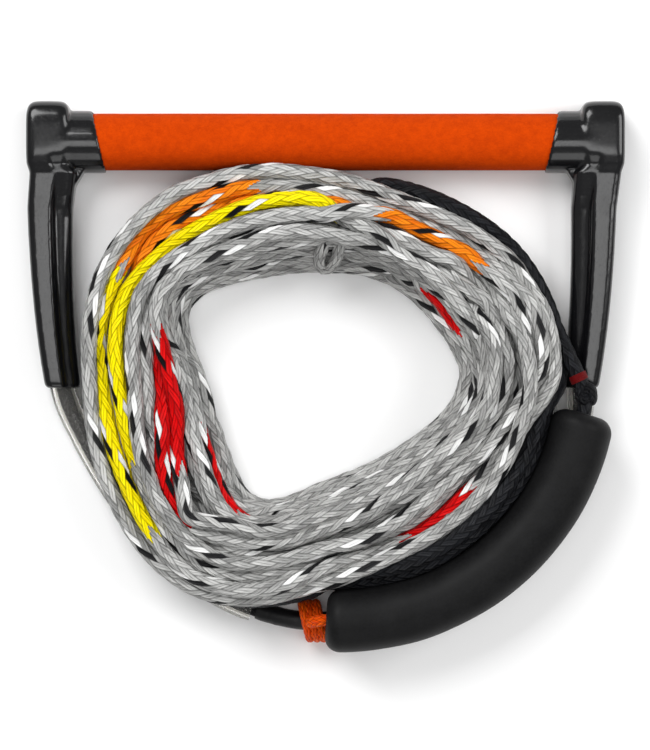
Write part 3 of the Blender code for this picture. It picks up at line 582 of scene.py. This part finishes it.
def push_from_line(points, line, clear):
    """Moves points most of the way out of a round solid of this radius along a line."""
    gap = points[:, None, :] - line[None, :, :]
    distance = np.linalg.norm(gap, axis=2)
    nearest = distance.argmin(axis=1)
    rows = np.arange(len(points))
    near = distance[rows, nearest]
    inside = near < clear
    away = unit(gap[rows, nearest])
    points[inside] += 0.7 * away[inside] * (clear - near[inside])[:, None]


def from_centre(points):
    """The points from the coil's centre, their distances out, and the level directions outwards."""
    flat = points - np.array([*COIL_CENTRE, 0.0])
    radius = np.linalg.norm(flat[:, :2], axis=1)
    return flat, radius, flat[:, :2] / radius[:, None]


def push_apart(points, pairs, tangent, squash):
    """Moves ropes apart, across their length, where they lie nearer than a line's width."""
    i, j = pairs[:, 0], pairs[:, 1]
    gap = (points[j] - points[i]) * squash
    lead = (gap * tangent[i]).sum(axis=1)
    across = gap - lead[:, None] * tangent[i]
    distance = np.linalg.norm(across, axis=1)
    touching = (np.abs(lead) < 0.62 * LINE_STEP) & (distance < LINE_WIDTH)
    i, j, across, distance = i[touching], j[touching], across[touching], distance[touching]
    away = across / np.maximum(distance, 1e-5)[:, None]
    push = away * (TOUCH_PUSH * (LINE_WIDTH - distance))[:, None] / squash
    for axis in range(3):
        points[:, axis] += (np.bincount(j, push[:, axis], len(points))
                - np.bincount(i, push[:, axis], len(points)))


def settle(line, targets, firm, hold, parting, obstacles):
    """Relaxes the rope: it keeps to its lane, sinks on the turns below and doesn't cut through them.

    parting is the index at which a second line starts.
    """
    squash = np.array([1.0, 1.0, LINE_WIDTH / LINE_HEIGHT])
    points = line.copy()
    heights = line[:, 2].copy()
    free = np.ones(len(points), dtype=bool)
    free[[0, parting - 1, parting, -1]] = False
    for step in range(SETTLE_STEPS):
        if step % 12 == 0:
            pairs = near_pairs(points * squash, LINE_WIDTH + 5 * MM)
        middle = np.zeros_like(points)
        middle[1:-1] = 0.5 * (points[:-2] + points[2:]) - points[1:-1]
        points[free] += BEND_STIFFNESS * middle[free]
        _, radius, out = from_centre(points)
        points[:, :2] += out * (firm * (targets - radius))[:, None]
        points[:, 2] -= SINK * (1.0 - 0.6 * (step / SETTLE_STEPS))
        points[:, 2] += hold * (heights - points[:, 2])
        points[:, 2] -= 0.5 * np.maximum(points[:, 2] - LINE_CEILING, 0.0)
        tangent = tangents_of(points)
        for _ in range(2):
            push_apart(points, pairs, tangent, squash)
        flat, radius, out = from_centre(points)
        low, high = section_limits(np.degrees(np.arctan2(flat[:, 1], flat[:, 0])), points[:, 2])
        held = np.clip(radius, low - 1.0 * MM, high + 0.6 * MM)
        points[:, :2] += out * (0.6 * (held - radius))[:, None]
        points[:, 2] = np.clip(points[:, 2], 0.5 * LINE_HEIGHT + LIFT, LINE_CEILING + 1.5 * MM)
        if step % 3 == 0:
            for solid, clear in obstacles:
                push_from_line(points, solid, clear)
    return points


def leader_rows():
    """The black handle section's turns in the coil, from the stop knot to where it joins the main line."""
    knots = []
    for degrees, share, height in LEADER_STATIONS:
        inner, outer = float(outline(1, degrees)), float(outer_edge(degrees))
        knots.append((inner + share * (outer - inner), degrees, height * MM))
    return knots


def float_point(angle, z=FLOAT_Z):
    return (FLOAT_CENTRE[0] + FLOAT_ARC * cos(angle), FLOAT_CENTRE[1] + FLOAT_ARC * sin(angle), z)


def placed(route, height, down=False):
    return [(x * MM, y * MM, height + (-z if down else z) * MM) for x, y, z in route]


def arm_centre(side, y):
    root = BAR_Y - COLLAR_RADIUS
    share = min(max((root - y) / (root - ARM_END), 0.0), 1.0)
    x = side * (ARM_TOP_X - share ** ARM_BEND * ARM_LEAN) - ARM_SWAY * min(share * 6, 1.0)
    return (x, y, BAR_Z + (ARM_END_Z - BAR_Z) * share)


def bridle_line():
    """The whole bridle rope, from the left knot round the nose to the right knot."""
    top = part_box("rope_bush_left")[1][1] + FIT
    lying = HOSE_RADIUS + LIFT

    def arm_route(side):
        heights = [BAR_Y - 13.7 * MM, BAR_Y - COLLAR_RADIUS - 12 * MM]
        return [(side * KNOT_HALF_SPACING, heights[0], BAR_Z)] + [
            arm_centre(side, heights[1] + (ARM_END - heights[1]) * k / 6) for k in range(7)]

    left = [(-KNOT_HALF_SPACING, top, BAR_Z)] + arm_route(-1) + placed(LEFT_HOSE_ROUTE, lying)
    nose = placed(NOSE_ROUTE, EYE_Z, down=True)
    under = [float_point(radians(angle), lying) for angle in range(-80, -15, 8)]
    right = under + placed(RIGHT_HOSE_ROUTE, lying) + arm_route(1)[::-1] + [(KNOT_HALF_SPACING, top, BAR_Z)]
    return smooth_line(left + nose + right, 3 * MM)


def stretch(line, start, end):
    first = np.linalg.norm(line - np.array(start), axis=1).argmin()
    last = np.linalg.norm(line - np.array(end), axis=1).argmin()
    return line[first:last + 1]


def settled_coil(bridle):
    """The settled main line, its direction in degrees, the leader, and which turn is the first to show."""
    rows, shown_from = first_guess()
    main = smooth_line(steered(rows), LINE_STEP)
    degrees = np.degrees(np.unwrap(np.arctan2(main[:, 1] - COIL_CENTRE[1], main[:, 0] - COIL_CENTRE[0])))
    inside = [(COIL_CENTRE[0] + r * cos(radians(d)), COIL_CENTRE[1] + r * sin(radians(d)), z)
            for r, d, z in leader_rows()]
    leader = smooth_line(placed(TAIL_ROUTE, FLOAT_Z) + inside, LINE_STEP)
    line = np.vstack([main, leader])
    targets = np.linalg.norm(line[:, :2] - np.array(COIL_CENTRE), axis=1)
    turn_firm = np.where(degrees >= shown_from * 360.0, TURN_FIRM, HIDDEN_FIRM)
    firm = np.concatenate([turn_firm, np.full(len(leader), LEADER_FIRM)])
    hold = np.concatenate([np.zeros(len(main)), np.full(len(leader), LEADER_HOLD)])
    float_line = np.array([float_point(FLOAT_FROM + (FLOAT_TO - FLOAT_FROM) * k / 40) for k in range(41)])
    hose_line = bridle[bridle[:, 1] < ARM_END + HOSE_INSERT][::2]
    obstacles = ((float_line, FLOAT_RADIUS + 0.5 * LINE_WIDTH), (hose_line, HOSE_RADIUS + 0.5 * LINE_HEIGHT))
    settled = settle(line, targets, firm, hold, len(main), obstacles)
    # The leader's first points stay where the rope leaves the stop knot.
    settled[len(main):len(main) + 4] = line[len(main):len(main) + 4]
    return settled[:len(main)], degrees, settled[len(main):], shown_from


def slow_turning(along):
    """How the rope twists as it lies, in turns: slow and uneven."""
    return 0.35 * np.sin(along * 7.1) + 0.22 * np.sin(along * 17.3 + 1.0) + 0.12 * np.sin(along * 41.0 + 2.0)


def main_line_pieces(line, degrees, shown_from, ropes):
    """The main line as pieces end to end, each with its coloured lengths."""
    along = lengths_of(line)

    def length_at(turn, angle=0.0):
        return np.interp((shown_from + turn) * 360.0 + angle, degrees, along)

    colours = ("grey", "yellow", "orange", "red")
    coloured = [(length_at(turn, low), length_at(turn, high), colours.index(colour))
            for turn, low, high, colour in COLOURED]
    shown_at = length_at(0)
    cuts = [0.0, shown_at / 3, shown_at * 2 / 3, shown_at]
    cuts += [length_at(turn, -20) for turn in (3, 6, 8, 10)] + [along[-1]]
    pieces = []
    for index, (low, high) in enumerate(zip(cuts, cuts[1:])):
        shown = index >= 3
        step = (1.15 if shown else 2.3) * MM
        around = 24 if shown else 16
        marks = np.concatenate([[low], along[(along > low) & (along < high)], [high]])
        part = smooth_line(read_at(marks, along, line), step)
        item, path = braided(f"main_line_{index + 1}", part, [ropes[c] for c in colours], width=LINE_WIDTH,
                height=LINE_HEIGHT, step=step, around=around, start=low,
                turning=slow_turning, strips=14)
        face_at = strand_places(low + (np.arange(len(path) - 1) + 0.5) * step, around)
        face_colours = np.zeros(len(item.data.polygons), dtype=np.int32)
        for start, end, colour in coloured:
            face_colours[:face_at.size][((face_at > start) & (face_at < end)).ravel()] = colour
        item.data.polygons.foreach_set("material_index", face_colours)
        pieces.append((item, path))
    return pieces


# ---- end caps
def rounded_copy(name, node, voxel, passes):
    """A smooth moulded copy of a CAD node: its edges get the soft radius of a rubber part."""
    mesh = bpy.data.objects[node].data.copy()
    mesh.materials.clear()
    item = link(name, mesh, [])
    remesh = item.modifiers.new("even", "REMESH")
    remesh.mode = "VOXEL"
    remesh.voxel_size = voxel
    apply_smooth(item, passes)
    return item


def soften_boss(item, side):
    """Rounds the boss over the bar's end more than the rest, and lets the arm's web slope inwards."""
    mesh = item.data
    points = np.empty(len(mesh.vertices) * 3)
    mesh.vertices.foreach_get("co", points)
    points = points.reshape(-1, 3)
    x, y, z = points.T
    centres = np.array([arm_centre(side, at) for at in y])
    inward = -side * (x - centres[:, 0])
    on_arm = np.clip((BAR_Y - 30 * MM - y) / (12 * MM), 0, 1)
    slope = np.clip(inward / (11 * MM), 0, 1)
    z -= (z - centres[:, 2]) * 0.24 * slope * on_arm
    crown = np.clip(1 - ((inward + 6.5 * MM) / (7 * MM)) ** 2, 0, 1)
    above = z - centres[:, 2]
    z += 0.45 * MM * crown * on_arm * np.sign(above) * (np.abs(above) > 6 * MM)
    mesh.vertices.foreach_set("co", points.ravel())
    group = item.vertex_groups.new(name="boss")
    weight = np.clip((y - BAR_Y + 13 * MM) / (8 * MM), 0, 1) * np.clip((side * x - 141 * MM) / (5 * MM), 0, 1)
    for step in range(1, 11):
        chosen = np.nonzero(np.round(weight * 10).astype(int) == step)[0]
        group.add(chosen.tolist(), step / 10, "REPLACE")
    apply_smooth(item, 60, "boss")
    item.vertex_groups.clear()


def apply_smooth(item, passes, group=""):
    soften = item.modifiers.new("soften", "SMOOTH")
    soften.factor = 0.5
    soften.iterations = passes
    soften.vertex_group = group
    bake_modifiers(item)


def bake_modifiers(item):
    depsgraph = bpy.context.evaluated_depsgraph_get()
    final = bpy.data.meshes.new_from_object(item.evaluated_get(depsgraph))
    item.modifiers.clear()
    item.data = final
    final.shade_smooth()


def build_caps(rubber):
    for label, side in (("left", -1), ("right", 1)):
        node = "end_cap_" + label
        cap = rounded_copy("moulded_cap_" + label, node, 0.75 * MM, 7)
        soften_boss(cap, side)
        cap.data.materials.append(rubber)
        stands_for(cap, node)


def rubber_material():
    g = Graph("cap_rubber", 0.2, Specular_IOR_Level=0.45)
    place = g.place()
    cloud = g.noise(place, 60.0, 3.0)
    scuff = g.noise(place, 900.0, 2.0, 0.7)
    grain = g.noise(place, 2400.0, 2.0)
    colour = g.mix(cloud, (0.0025, 0.0025, 0.003), (0.005, 0.005, 0.0058))
    rough = g.scaled(g.remap(scuff, 0.45, 0.8), 0.12, 0.17)
    height = g.plus(g.times(cloud, 0.8), g.times(grain, 0.05))
    return g.finish(colour, rough, height, distance=0.25 * MM, strength=0.35)


# ---- grip and float
def build_grip(suede):
    low, high = (Vector(corner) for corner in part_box("grip_sleeve"))
    radius = (high.z - low.z) / 2
    y, z = (low.y + high.y) / 2, (low.z + high.z) / 2
    along = np.linspace(low.x, high.x, 420)
    turn = np.linspace(0, 2 * pi, 97)[:-1]
    rng = np.random.default_rng(5)
    swell = np.zeros((len(along), len(turn)))
    for _ in range(14):
        kx, kt = rng.uniform(20, 160), rng.integers(1, 5)
        size, shift = rng.uniform(0.2, 1.0), rng.uniform(0, 6.3)
        swell += size * np.sin(along[:, None] * kx + turn[None, :] * kt + shift)
    swell *= 0.025 * MM
    tuck = np.minimum(along - low.x, high.x - along)[:, None]
    reach = radius - 0.12 * MM + swell - 0.5 * MM * np.exp(-tuck / (1.2 * MM))
    bore = np.full((2, len(turn)), half_height("bar_tube") + FIT)
    places = np.append(along, [high.x, low.x])[:, None]
    reach = np.concatenate([reach, bore])
    level, upright = y + reach * np.cos(turn), z + reach * np.sin(turn)
    rows = np.stack([np.broadcast_to(places, reach.shape), level, upright], axis=-1)
    mesh = grid_mesh("grip_foam", rows, ring=True, strips=2)
    mesh.set_sharp_from_angle(angle=radians(60))
    grip = link("grip_foam", mesh, [suede])
    stands_for(grip, "grip_sleeve")


def half_height(node):
    low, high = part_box(node)
    return (high[2] - low[2]) / 2


def suede_material():
    """Fine-napped foam rubber, a little mottled."""
    g = Graph("grip_foam", 0.92, Specular_IOR_Level=0.05)
    place = g.place()
    nap = g.noise(place, 1500.0, 4.0, 0.65)
    mottle = g.noise(place, 260.0, 3.0, 0.6)
    wear = g.noise(place, 40.0, 2.0)
    tone = g.plus(g.times(nap, 0.5), g.plus(g.times(mottle, 0.35), g.times(wear, 0.15)))
    colour = g.mix(g.remap(tone, 0.32, 0.68), (0.42, 0.034, 0.0004), (0.60, 0.056, 0.0006))
    height = g.plus(g.times(nap, 0.7), g.times(mottle, 0.6))
    return g.finish(colour, None, height, distance=0.22 * MM, strength=0.8)


def float_profile():
    """One end of the float from its bore outwards: how far in from the end, and the radius."""
    rim, bore = FLOAT_RIM, FLOAT_BORE
    profile = [(1.6 * MM, bore), (0.9 * MM, bore + 1.2 * MM)]
    for radius in np.linspace(bore + 2.2 * MM, FLOAT_RADIUS - rim * 1.21, 3):
        dimple = 1.0 / (1.0 + ((radius - bore) / (2 * MM)) ** 2)
        profile.append((0.2 * MM + 0.5 * MM * dimple, radius))
    # A quarter round at the rim, carried on a little into the end face.
    for turn in np.linspace(-0.35, pi / 2, 14):
        if turn > 0:
            profile.append((rim * (1 - cos(turn)), FLOAT_RADIUS - rim * (1 - sin(turn))))
        else:
            profile.append((0.35 * rim * (1 - cos(turn)), FLOAT_RADIUS - rim + rim * turn * 0.6))
    return profile


def build_float(foam):
    """The foam float: a bent sleeve with soft rims, a dimple where the rope enters and one end askew."""
    profile = float_profile()
    body = (FLOAT_TO - FLOAT_FROM) * FLOAT_ARC - 2 * FLOAT_RIM
    stations = [(FLOAT_FROM + a / FLOAT_ARC, r) for a, r in profile]
    stations += [(FLOAT_FROM + (FLOAT_RIM + body * k / 90) / FLOAT_ARC, FLOAT_RADIUS) for k in range(1, 90)]
    stations += [(FLOAT_TO - a / FLOAT_ARC, r) for a, r in reversed(profile)]
    stations += [(FLOAT_TO + (FLOAT_FROM - FLOAT_TO) * k / 12, FLOAT_BORE) for k in range(1, 12)]
    turns = np.linspace(0, 2 * pi, 73)[:-1]
    rng = np.random.default_rng(3)
    waves = [(rng.uniform(4, 26), rng.integers(0, 4), rng.uniform(0, 6.3), rng.uniform(0.3, 1))
            for _ in range(10)]
    rows = []
    for angle, radius in stations:
        swell = sum(w * np.sin(angle * k + turns * m + p) for k, m, p, w in waves) * 0.05 * MM
        reach = radius + swell * (radius > FLOAT_RADIUS * 0.8)
        out = np.array([cos(angle), sin(angle), 0.0])
        ahead = np.array([-sin(angle), cos(angle), 0.0])
        # The upper end was cut askew: it stands back on the outer side.
        near_end = max(0.0, 1.0 - (FLOAT_TO - angle) * FLOAT_ARC / (40 * MM))
        lag = -0.16 * near_end * np.maximum(reach * np.cos(turns) + 0.3 * FLOAT_RADIUS, 0.0)
        rows.append(np.array(float_point(angle)) + np.outer(reach * np.cos(turns), out)
                + np.outer(reach * np.sin(turns), [0, 0, 1.0]) + np.outer(lag, ahead))
    item = link("foam_float", grid_mesh("foam_float", rows, ring=True, strips=3), [foam])
    stands_for(item, "float", "float")


def foam_material():
    g = Graph("float_foam", 0.55, Specular_IOR_Level=0.12)
    place = g.place()
    pores = g.pores(place, 1100.0)
    cloud = g.noise(place, 90.0, 3.0)
    grain = g.noise(place, 700.0, 3.0, 0.6)
    tone = g.plus(g.times(cloud, 0.5), g.times(grain, 0.5))
    colour = g.mix(g.remap(tone, 0.3, 0.7), (0.004, 0.004, 0.0043), (0.008, 0.008, 0.0084))
    rough = g.scaled(grain, 0.2, 0.42)
    height = g.plus(g.times(pores, 0.6), g.times(grain, 0.5))
    return g.finish(colour, rough, height, distance=0.12 * MM, strength=0.6)


# ---- bridle
def tube(name, line, outer, inner, material):
    """A hollow hose along a line; outer may be a number or one for each point."""
    side, up = carried_frames(line)
    turn = np.linspace(0, 2 * pi, 33)[:-1]
    outer = np.broadcast_to(outer, len(line)).copy()
    outer[[0, -1]] -= 0.25 * (outer[0] - inner)
    circle = np.cos(turn)[None, :, None] * side[:, None, :] + np.sin(turn)[None, :, None] * up[:, None, :]
    outside = line[:, None, :] + circle * outer[:, None, None]
    within = line[:, None, :] + circle * inner
    mesh = grid_mesh(name, np.concatenate([outside, within[::-1]]), ring=True)
    mesh.set_sharp_from_angle(angle=radians(50))
    return link(name, mesh, [material])


def build_bridle(ropes, bridle, hose, shrink, knots):
    """The rope from knot to knot, the clear hoses on its legs and the sleeve at the nose."""
    rope, path = braided("bridle_braid", bridle, [ropes["bridle"]], pitch=34 * MM, step=1.2 * MM, around=16,
            level=False, relief=0.4 * MM, strips=6)
    stands_for(rope, "bridle_rope")

    nose_left = placed(LEFT_HOSE_ROUTE, HOSE_RADIUS)[-1]
    nose_right = float_point(radians(-84), HOSE_RADIUS)
    left_leg = stretch(bridle, bridle[0], nose_left)
    right_leg = stretch(bridle, nose_right, bridle[-1])
    for label, leg in (("left", left_leg), ("right", right_leg)):
        leg = leg[leg[:, 1] < ARM_END + HOSE_INSERT - 4 * MM]
        leg = leg[:-1] if label == "left" else leg[1:]
        item = tube("clear_hose_" + label, leg, HOSE_RADIUS, HOSE_RADIUS - HOSE_WALL, hose)
        stands_for(item, "bridle_tube_" + label)
    nose = stretch(bridle, nose_left, nose_right)
    along = lengths_of(nose)
    lumps = np.sin(along * 900) * np.sin(along * 310 + 1)
    outer = ROPE_RADIUS + FIT + SLEEVE_WALL + 0.12 * MM * lumps
    item = tube("shrink_sleeve", nose, outer, ROPE_RADIUS + FIT, shrink)
    stands_for(item, "nose_sleeve")


def hose_material():
    g = Graph("clear_hose", 0.03, Transmission_Weight=0.96, IOR=1.14, Specular_IOR_Level=0.5)
    place = g.place()
    haze = g.noise(place, 120.0, 3.0)
    colour = g.mix(haze, (0.92, 0.91, 0.87), (0.97, 0.96, 0.93))
    rough = g.scaled(haze, 0.03, 0.01)
    return g.finish(colour, rough, g.noise(place, 45.0, 2.0), distance=0.2 * MM, strength=0.06)


def shrink_material():
    g = Graph("shrink_sleeve", 0.4, Specular_IOR_Level=0.25)
    place = g.place()
    folds = g.noise(place, 420.0, 3.0, 0.6)
    colour = g.mix(folds, (0.003, 0.003, 0.003), (0.006, 0.006, 0.007))
    return g.finish(colour, g.scaled(folds, 0.3, 0.3), folds, distance=0.35 * MM, strength=0.7)


def build_eye(ropes):
    """The orange eye: strands hitched round the nose sleeve, and a throat up into the float."""
    strand = 2.6 * MM
    spacing = 3.8 * MM
    slant = 2.2 * MM
    reach = EYE_RING + EYE_STRAND - strand
    turn = np.linspace(0, 2 * pi, 49)
    for k in range(3):
        x = EYE_X + 0.2 * MM + (k - 1) * spacing
        loop = np.stack([x - slant * np.cos(turn), EYE_Y + reach * np.cos(turn),
                EYE_Z + reach * np.sin(turn)], axis=1)
        item, _ = braided(f"eye_strand_{k + 1}", loop, [ropes["eye"]], width=2 * strand, pitch=40 * MM,
                step=0.7 * MM, start=0.011 * k, relief=0.35 * MM, level=False, ring=True)
        stands_for(item, "leader_eye")
    face = np.array(float_point(FLOAT_FROM))
    end = float_point(FLOAT_FROM + 0.05)
    start = np.array([EYE_X - 0.5 * MM, EYE_Y, EYE_Z + EYE_RING + 1.0 * MM])
    rise = start + np.array([0.2 * MM, 0.1 * MM, 0.55 * (face[2] - start[2])])
    line = smooth_line([start, rise, face + np.array([-3.6, -0.3, -0.5]) * MM, face, end], 1.0 * MM)
    item, _ = braided("eye_throat", line, [ropes["eye"]], width=2 * EYE_STRAND, pitch=28 * MM,
            step=0.8 * MM, relief=0.45 * MM, level=False)
    stands_for(item, "leader_eye")


# ---- knots, leader and loop
def knot(name, centre, along, radius, ropes, node, squeeze=1.0):
    """A stopper knot: a trefoil of the rope pulled tight, inside the CAD knot's space."""
    along = unit(np.array(along, dtype=float))
    side = unit(np.cross(along, [0.0, 0.0, 1.0] if abs(along[2]) < 0.9 else [1.0, 0.0, 0.0]))
    up = np.cross(side, along)
    turn = np.linspace(0, 2 * pi, 90)
    strand = 0.47 * radius
    wide = radius - strand
    x = (np.sin(turn) + 2 * np.sin(2 * turn)) / 3 * wide
    y = (np.cos(turn) - 2 * np.cos(2 * turn)) / 3 * wide
    z = -np.sin(3 * turn) * (radius * squeeze - strand)
    line = np.array(centre) + x[:, None] * side + y[:, None] * up + z[:, None] * along
    item, _ = braided(name, line, [ropes["black"]], width=2 * strand, pitch=26 * MM,
            step=0.8 * MM, around=16, relief=0.3 * MM, level=False, ring=True)
    stands_for(item, node)
    return item


def build_leader(ropes, leader):
    """The handle section: through the float, the stop knot, the whipping, then its turns in the coil."""
    eye_end = float_point(FLOAT_FROM + 0.05)
    start = atan2(eye_end[1] - FLOAT_CENTRE[1], eye_end[0] - FLOAT_CENTRE[0]) + 2 * FIT / FLOAT_ARC
    knot_angle = FLOAT_TO + (FLOAT_PLAY + KNOT_RADIUS) / FLOAT_ARC
    stop = knot_angle - 0.3 * KNOT_RADIUS / FLOAT_ARC
    inside = np.array([float_point(start + (stop - start) * k / 60) for k in range(61)])
    item, _ = braided("leader_in_float", inside, [ropes["black"]], step=1.2 * MM, pitch=60 * MM)
    stands_for(item, "leader_rope")
    knot_at = float_point(knot_angle)
    tie = knot("leader_stop_knot", knot_at, (-sin(knot_angle), cos(knot_angle), 0.0), KNOT_RADIUS, ropes,
            "leader_knot")

    line = np.vstack([np.array(knot_at), leader])
    rope, path = braided("leader_line", smooth_line(line, 3 * MM), [ropes["black"]], width=LINE_WIDTH,
            height=LINE_HEIGHT, step=1.2 * MM, around=24, turning=slow_turning, strips=10,
            pitch=60 * MM)
    stands_for(rope, "leader_tail")
    along = lengths_of(path)
    band = path[(along > 7.4 * MM) & (along < 12.2 * MM)]
    build_whipping(band, ropes)


def build_whipping(band, ropes):
    """A red thread wound round the leader in close turns."""
    side, up = carried_frames(band)
    along = lengths_of(band)
    marks = np.linspace(0, along[-1], 300)
    centre, across, above = (read_at(marks, along, values) for values in (band, side, up))
    turn = 2 * pi * 4.5 * marks / along[-1]
    reach = 0.5 * LINE_WIDTH + 0.25 * MM
    line = centre + (np.cos(turn)[:, None] * across + np.sin(turn)[:, None] * above) * reach
    item, _ = braided("leader_whipping", line, [ropes["thread"]], width=1.1 * MM, pitch=6 * MM,
            step=0.7 * MM, around=10, relief=0.15 * MM, level=False)
    stands_for(item, "leader_marker")
    return item


def build_boat_loop(ropes):
    """The flattened loop at the boat end, folded over the coil's inner shoulder at the top."""
    shoulder, slope = COIL_SHOULDER
    inner = float(outline(1, 90.0))
    rise = (COIL_TOP - slope) / shoulder
    half = 4.7 * MM
    centre_x = -1.5 * MM
    lean = 0.3
    turn = np.linspace(0, pi, 9)
    across = np.concatenate([np.full(3, -half), -half * np.cos(turn), np.full(3, half)])
    along = np.concatenate([[27, 21, 15], 10 - 6.6 * np.sin(turn), [15, 21, 27]]) * MM
    across += lean * along
    z = slope + rise * np.minimum(along, shoulder) + 4.6 * MM
    r = inner + along - 4.0 * MM
    points = np.stack([centre_x + across, COIL_CENTRE[1] + r, np.minimum(z, COIL_TOP + 5 * MM)], axis=1)
    item, _ = braided("boat_end_fold", smooth_line(points, 3 * MM), [ropes["grey"]], width=6.4 * MM,
            height=5.6 * MM, step=1.0 * MM, around=24, start=0.02)
    stands_for(item, "boat_end_loop")
    return item


# ---- materials of the CAD nodes, floor, camera and lamps
def plain(name, low, high, roughness, fine, bump, metallic=0.0):
    """A plain material with a little grain in its colour, roughness and surface."""
    g = Graph(name, roughness, metallic)
    grain = g.noise(g.place(), fine, 2.0 if metallic else 3.0)
    return g.finish(g.mix(grain, low, high), g.scaled(grain, 0.2, roughness), grain, distance=bump)


def paint_cad_nodes():
    """Better materials on the CAD nodes that stay: the bar, its core and plugs, and the bushes."""
    metal = plain("bar_aluminium", (0.70, 0.71, 0.73), (0.82, 0.83, 0.85), 0.22, 800.0, 0.03 * MM,
            metallic=1.0)
    core = plain("core_foam", (0.70, 0.68, 0.62), (0.86, 0.84, 0.78), 0.8, 500.0, 0.05 * MM)
    plug = plain("plug_plastic", (0.02, 0.02, 0.02), (0.05, 0.05, 0.05), 0.45, 500.0, 0.05 * MM)
    bush = plain("bush_nylon", (0.70, 0.70, 0.66), (0.84, 0.84, 0.80), 0.3, 500.0, 0.05 * MM)
    for node, material in (("bar_tube", metal), ("bar_foam_core", core), ("bar_plug_left", plug),
            ("bar_plug_right", plug), ("rope_bush_left", bush), ("rope_bush_right", bush)):
        for slot in bpy.data.objects[node].material_slots:
            slot.material = material


def build_floor():
    mesh = bpy.data.meshes.new("floor")
    reach = 4.0
    corners = [(-reach, -reach, 0), (reach, -reach, 0), (reach, reach, 0), (-reach, reach, 0)]
    mesh.from_pydata(corners, [], [(0, 1, 2, 3)])
    paper = Graph("paper", 0.9, Base_Color=(0.92, 0.92, 0.92, 1.0))
    link("floor", mesh, [paper.material])


def build_camera():
    scene = bpy.context.scene
    data = bpy.data.cameras.new("camera")
    distance = 2.4
    data.lens = 36.0 * distance / 0.420
    data.clip_end = 20
    camera = bpy.data.objects.new("camera", data)
    camera.location = (-0.28 * MM, 0.56 * MM, distance + 0.0175)
    scene.collection.objects.link(camera)
    scene.camera = camera
    scene.view_settings.view_transform = "Standard"


def build_lights():
    """A white room and four large lamps that face the object."""
    scene = bpy.context.scene
    world = bpy.data.worlds.new("world")
    world.use_nodes = True
    colour, strength = world.node_tree.nodes["Background"].inputs[:2]
    colour.default_value = (1.0, 1.0, 1.0, 1.0)
    strength.default_value = 0.32
    scene.world = world
    for name, place, width, depth, power in (
            ("overhead", (0.0, -0.22, 3.0), 1.6, 0.8, 17.0), ("key", (-0.8, 1.1, 1.6), 1.1, 1.1, 32.0),
            ("fill", (1.3, 0.3, 1.2), 0.9, 0.9, 14.0), ("front", (0.1, -1.4, 1.1), 0.9, 0.9, 5.0)):
        data = bpy.data.lights.new(name, "AREA")
        data.shape = "RECTANGLE"
        data.size, data.size_y, data.energy = width, depth, power
        lamp = bpy.data.objects.new(name, data)
        lamp.location = place
        lamp.rotation_euler = (-Vector(place)).to_track_quat("-Z", "Y").to_euler()
        scene.collection.objects.link(lamp)


def rope_materials():
    """One look for each rope: the lighter and the darker tone of its yarns."""
    def black(name, light, specular):
        return rope_material(name, light, (0.003, 0.003, 0.004), tracers=False, specular=specular)

    def bright(name, light, dark, tracers=True):
        return rope_material(name, light, dark, tracers=tracers, specular=0.1)

    return {
        "grey": rope_material("grey_line", (0.59, 0.59, 0.575), (0.19, 0.19, 0.186)),
        "yellow": bright("yellow_line", (1.0, 0.86, 0.0), (0.90, 0.70, 0.0)),
        "orange": bright("orange_line", (0.92, 0.25, 0.006), (0.74, 0.14, 0.003)),
        "red": bright("red_line", (0.72, 0.002, 0.003), (0.46, 0.001, 0.002)),
        "black": black("black_line", (0.013, 0.014, 0.017), 0.16),
        "bridle": black("bridle_black", (0.010, 0.010, 0.012), 0.1),
        "eye": bright("eye_orange", (1.0, 0.13, 0.002), (0.78, 0.055, 0.001), tracers=False),
        "thread": rope_material("whipping_thread", (0.40, 0.006, 0.008), (0.20, 0.003, 0.004), tracers=False),
    }


def build_coil(ropes, line, degrees, shown_from):
    """The main line's pieces; the last one ends in the folded loop."""
    pieces = main_line_pieces(line, degrees, shown_from, ropes)
    loop = build_boat_loop(ropes)
    for item, path in pieces:
        stands_for(item, "rope_coil")


def build_bridle_knots(ropes):
    knots = []
    for label in ("left", "right"):
        node = "bridle_knot_" + label
        low, high = (np.array(corner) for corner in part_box(node))
        knots.append(knot("bridle_stop_" + label, (low + high) / 2, (0, 1, 0), KNOT_RADIUS, ropes, node,
                squeeze=0.9))
    return knots


def main():
    ropes = rope_materials()
    build_floor()
    build_camera()
    build_lights()
    paint_cad_nodes()
    bridle = bridle_line()
    line, degrees, leader, shown_from = settled_coil(bridle)
    build_coil(ropes, line, degrees, shown_from)
    build_caps(rubber_material())
    build_grip(suede_material())
    build_float(foam_material())
    build_bridle(ropes, bridle, hose_material(), shrink_material(), build_bridle_knots(ropes))
    build_eye(ropes)
    build_leader(ropes, leader)


main()
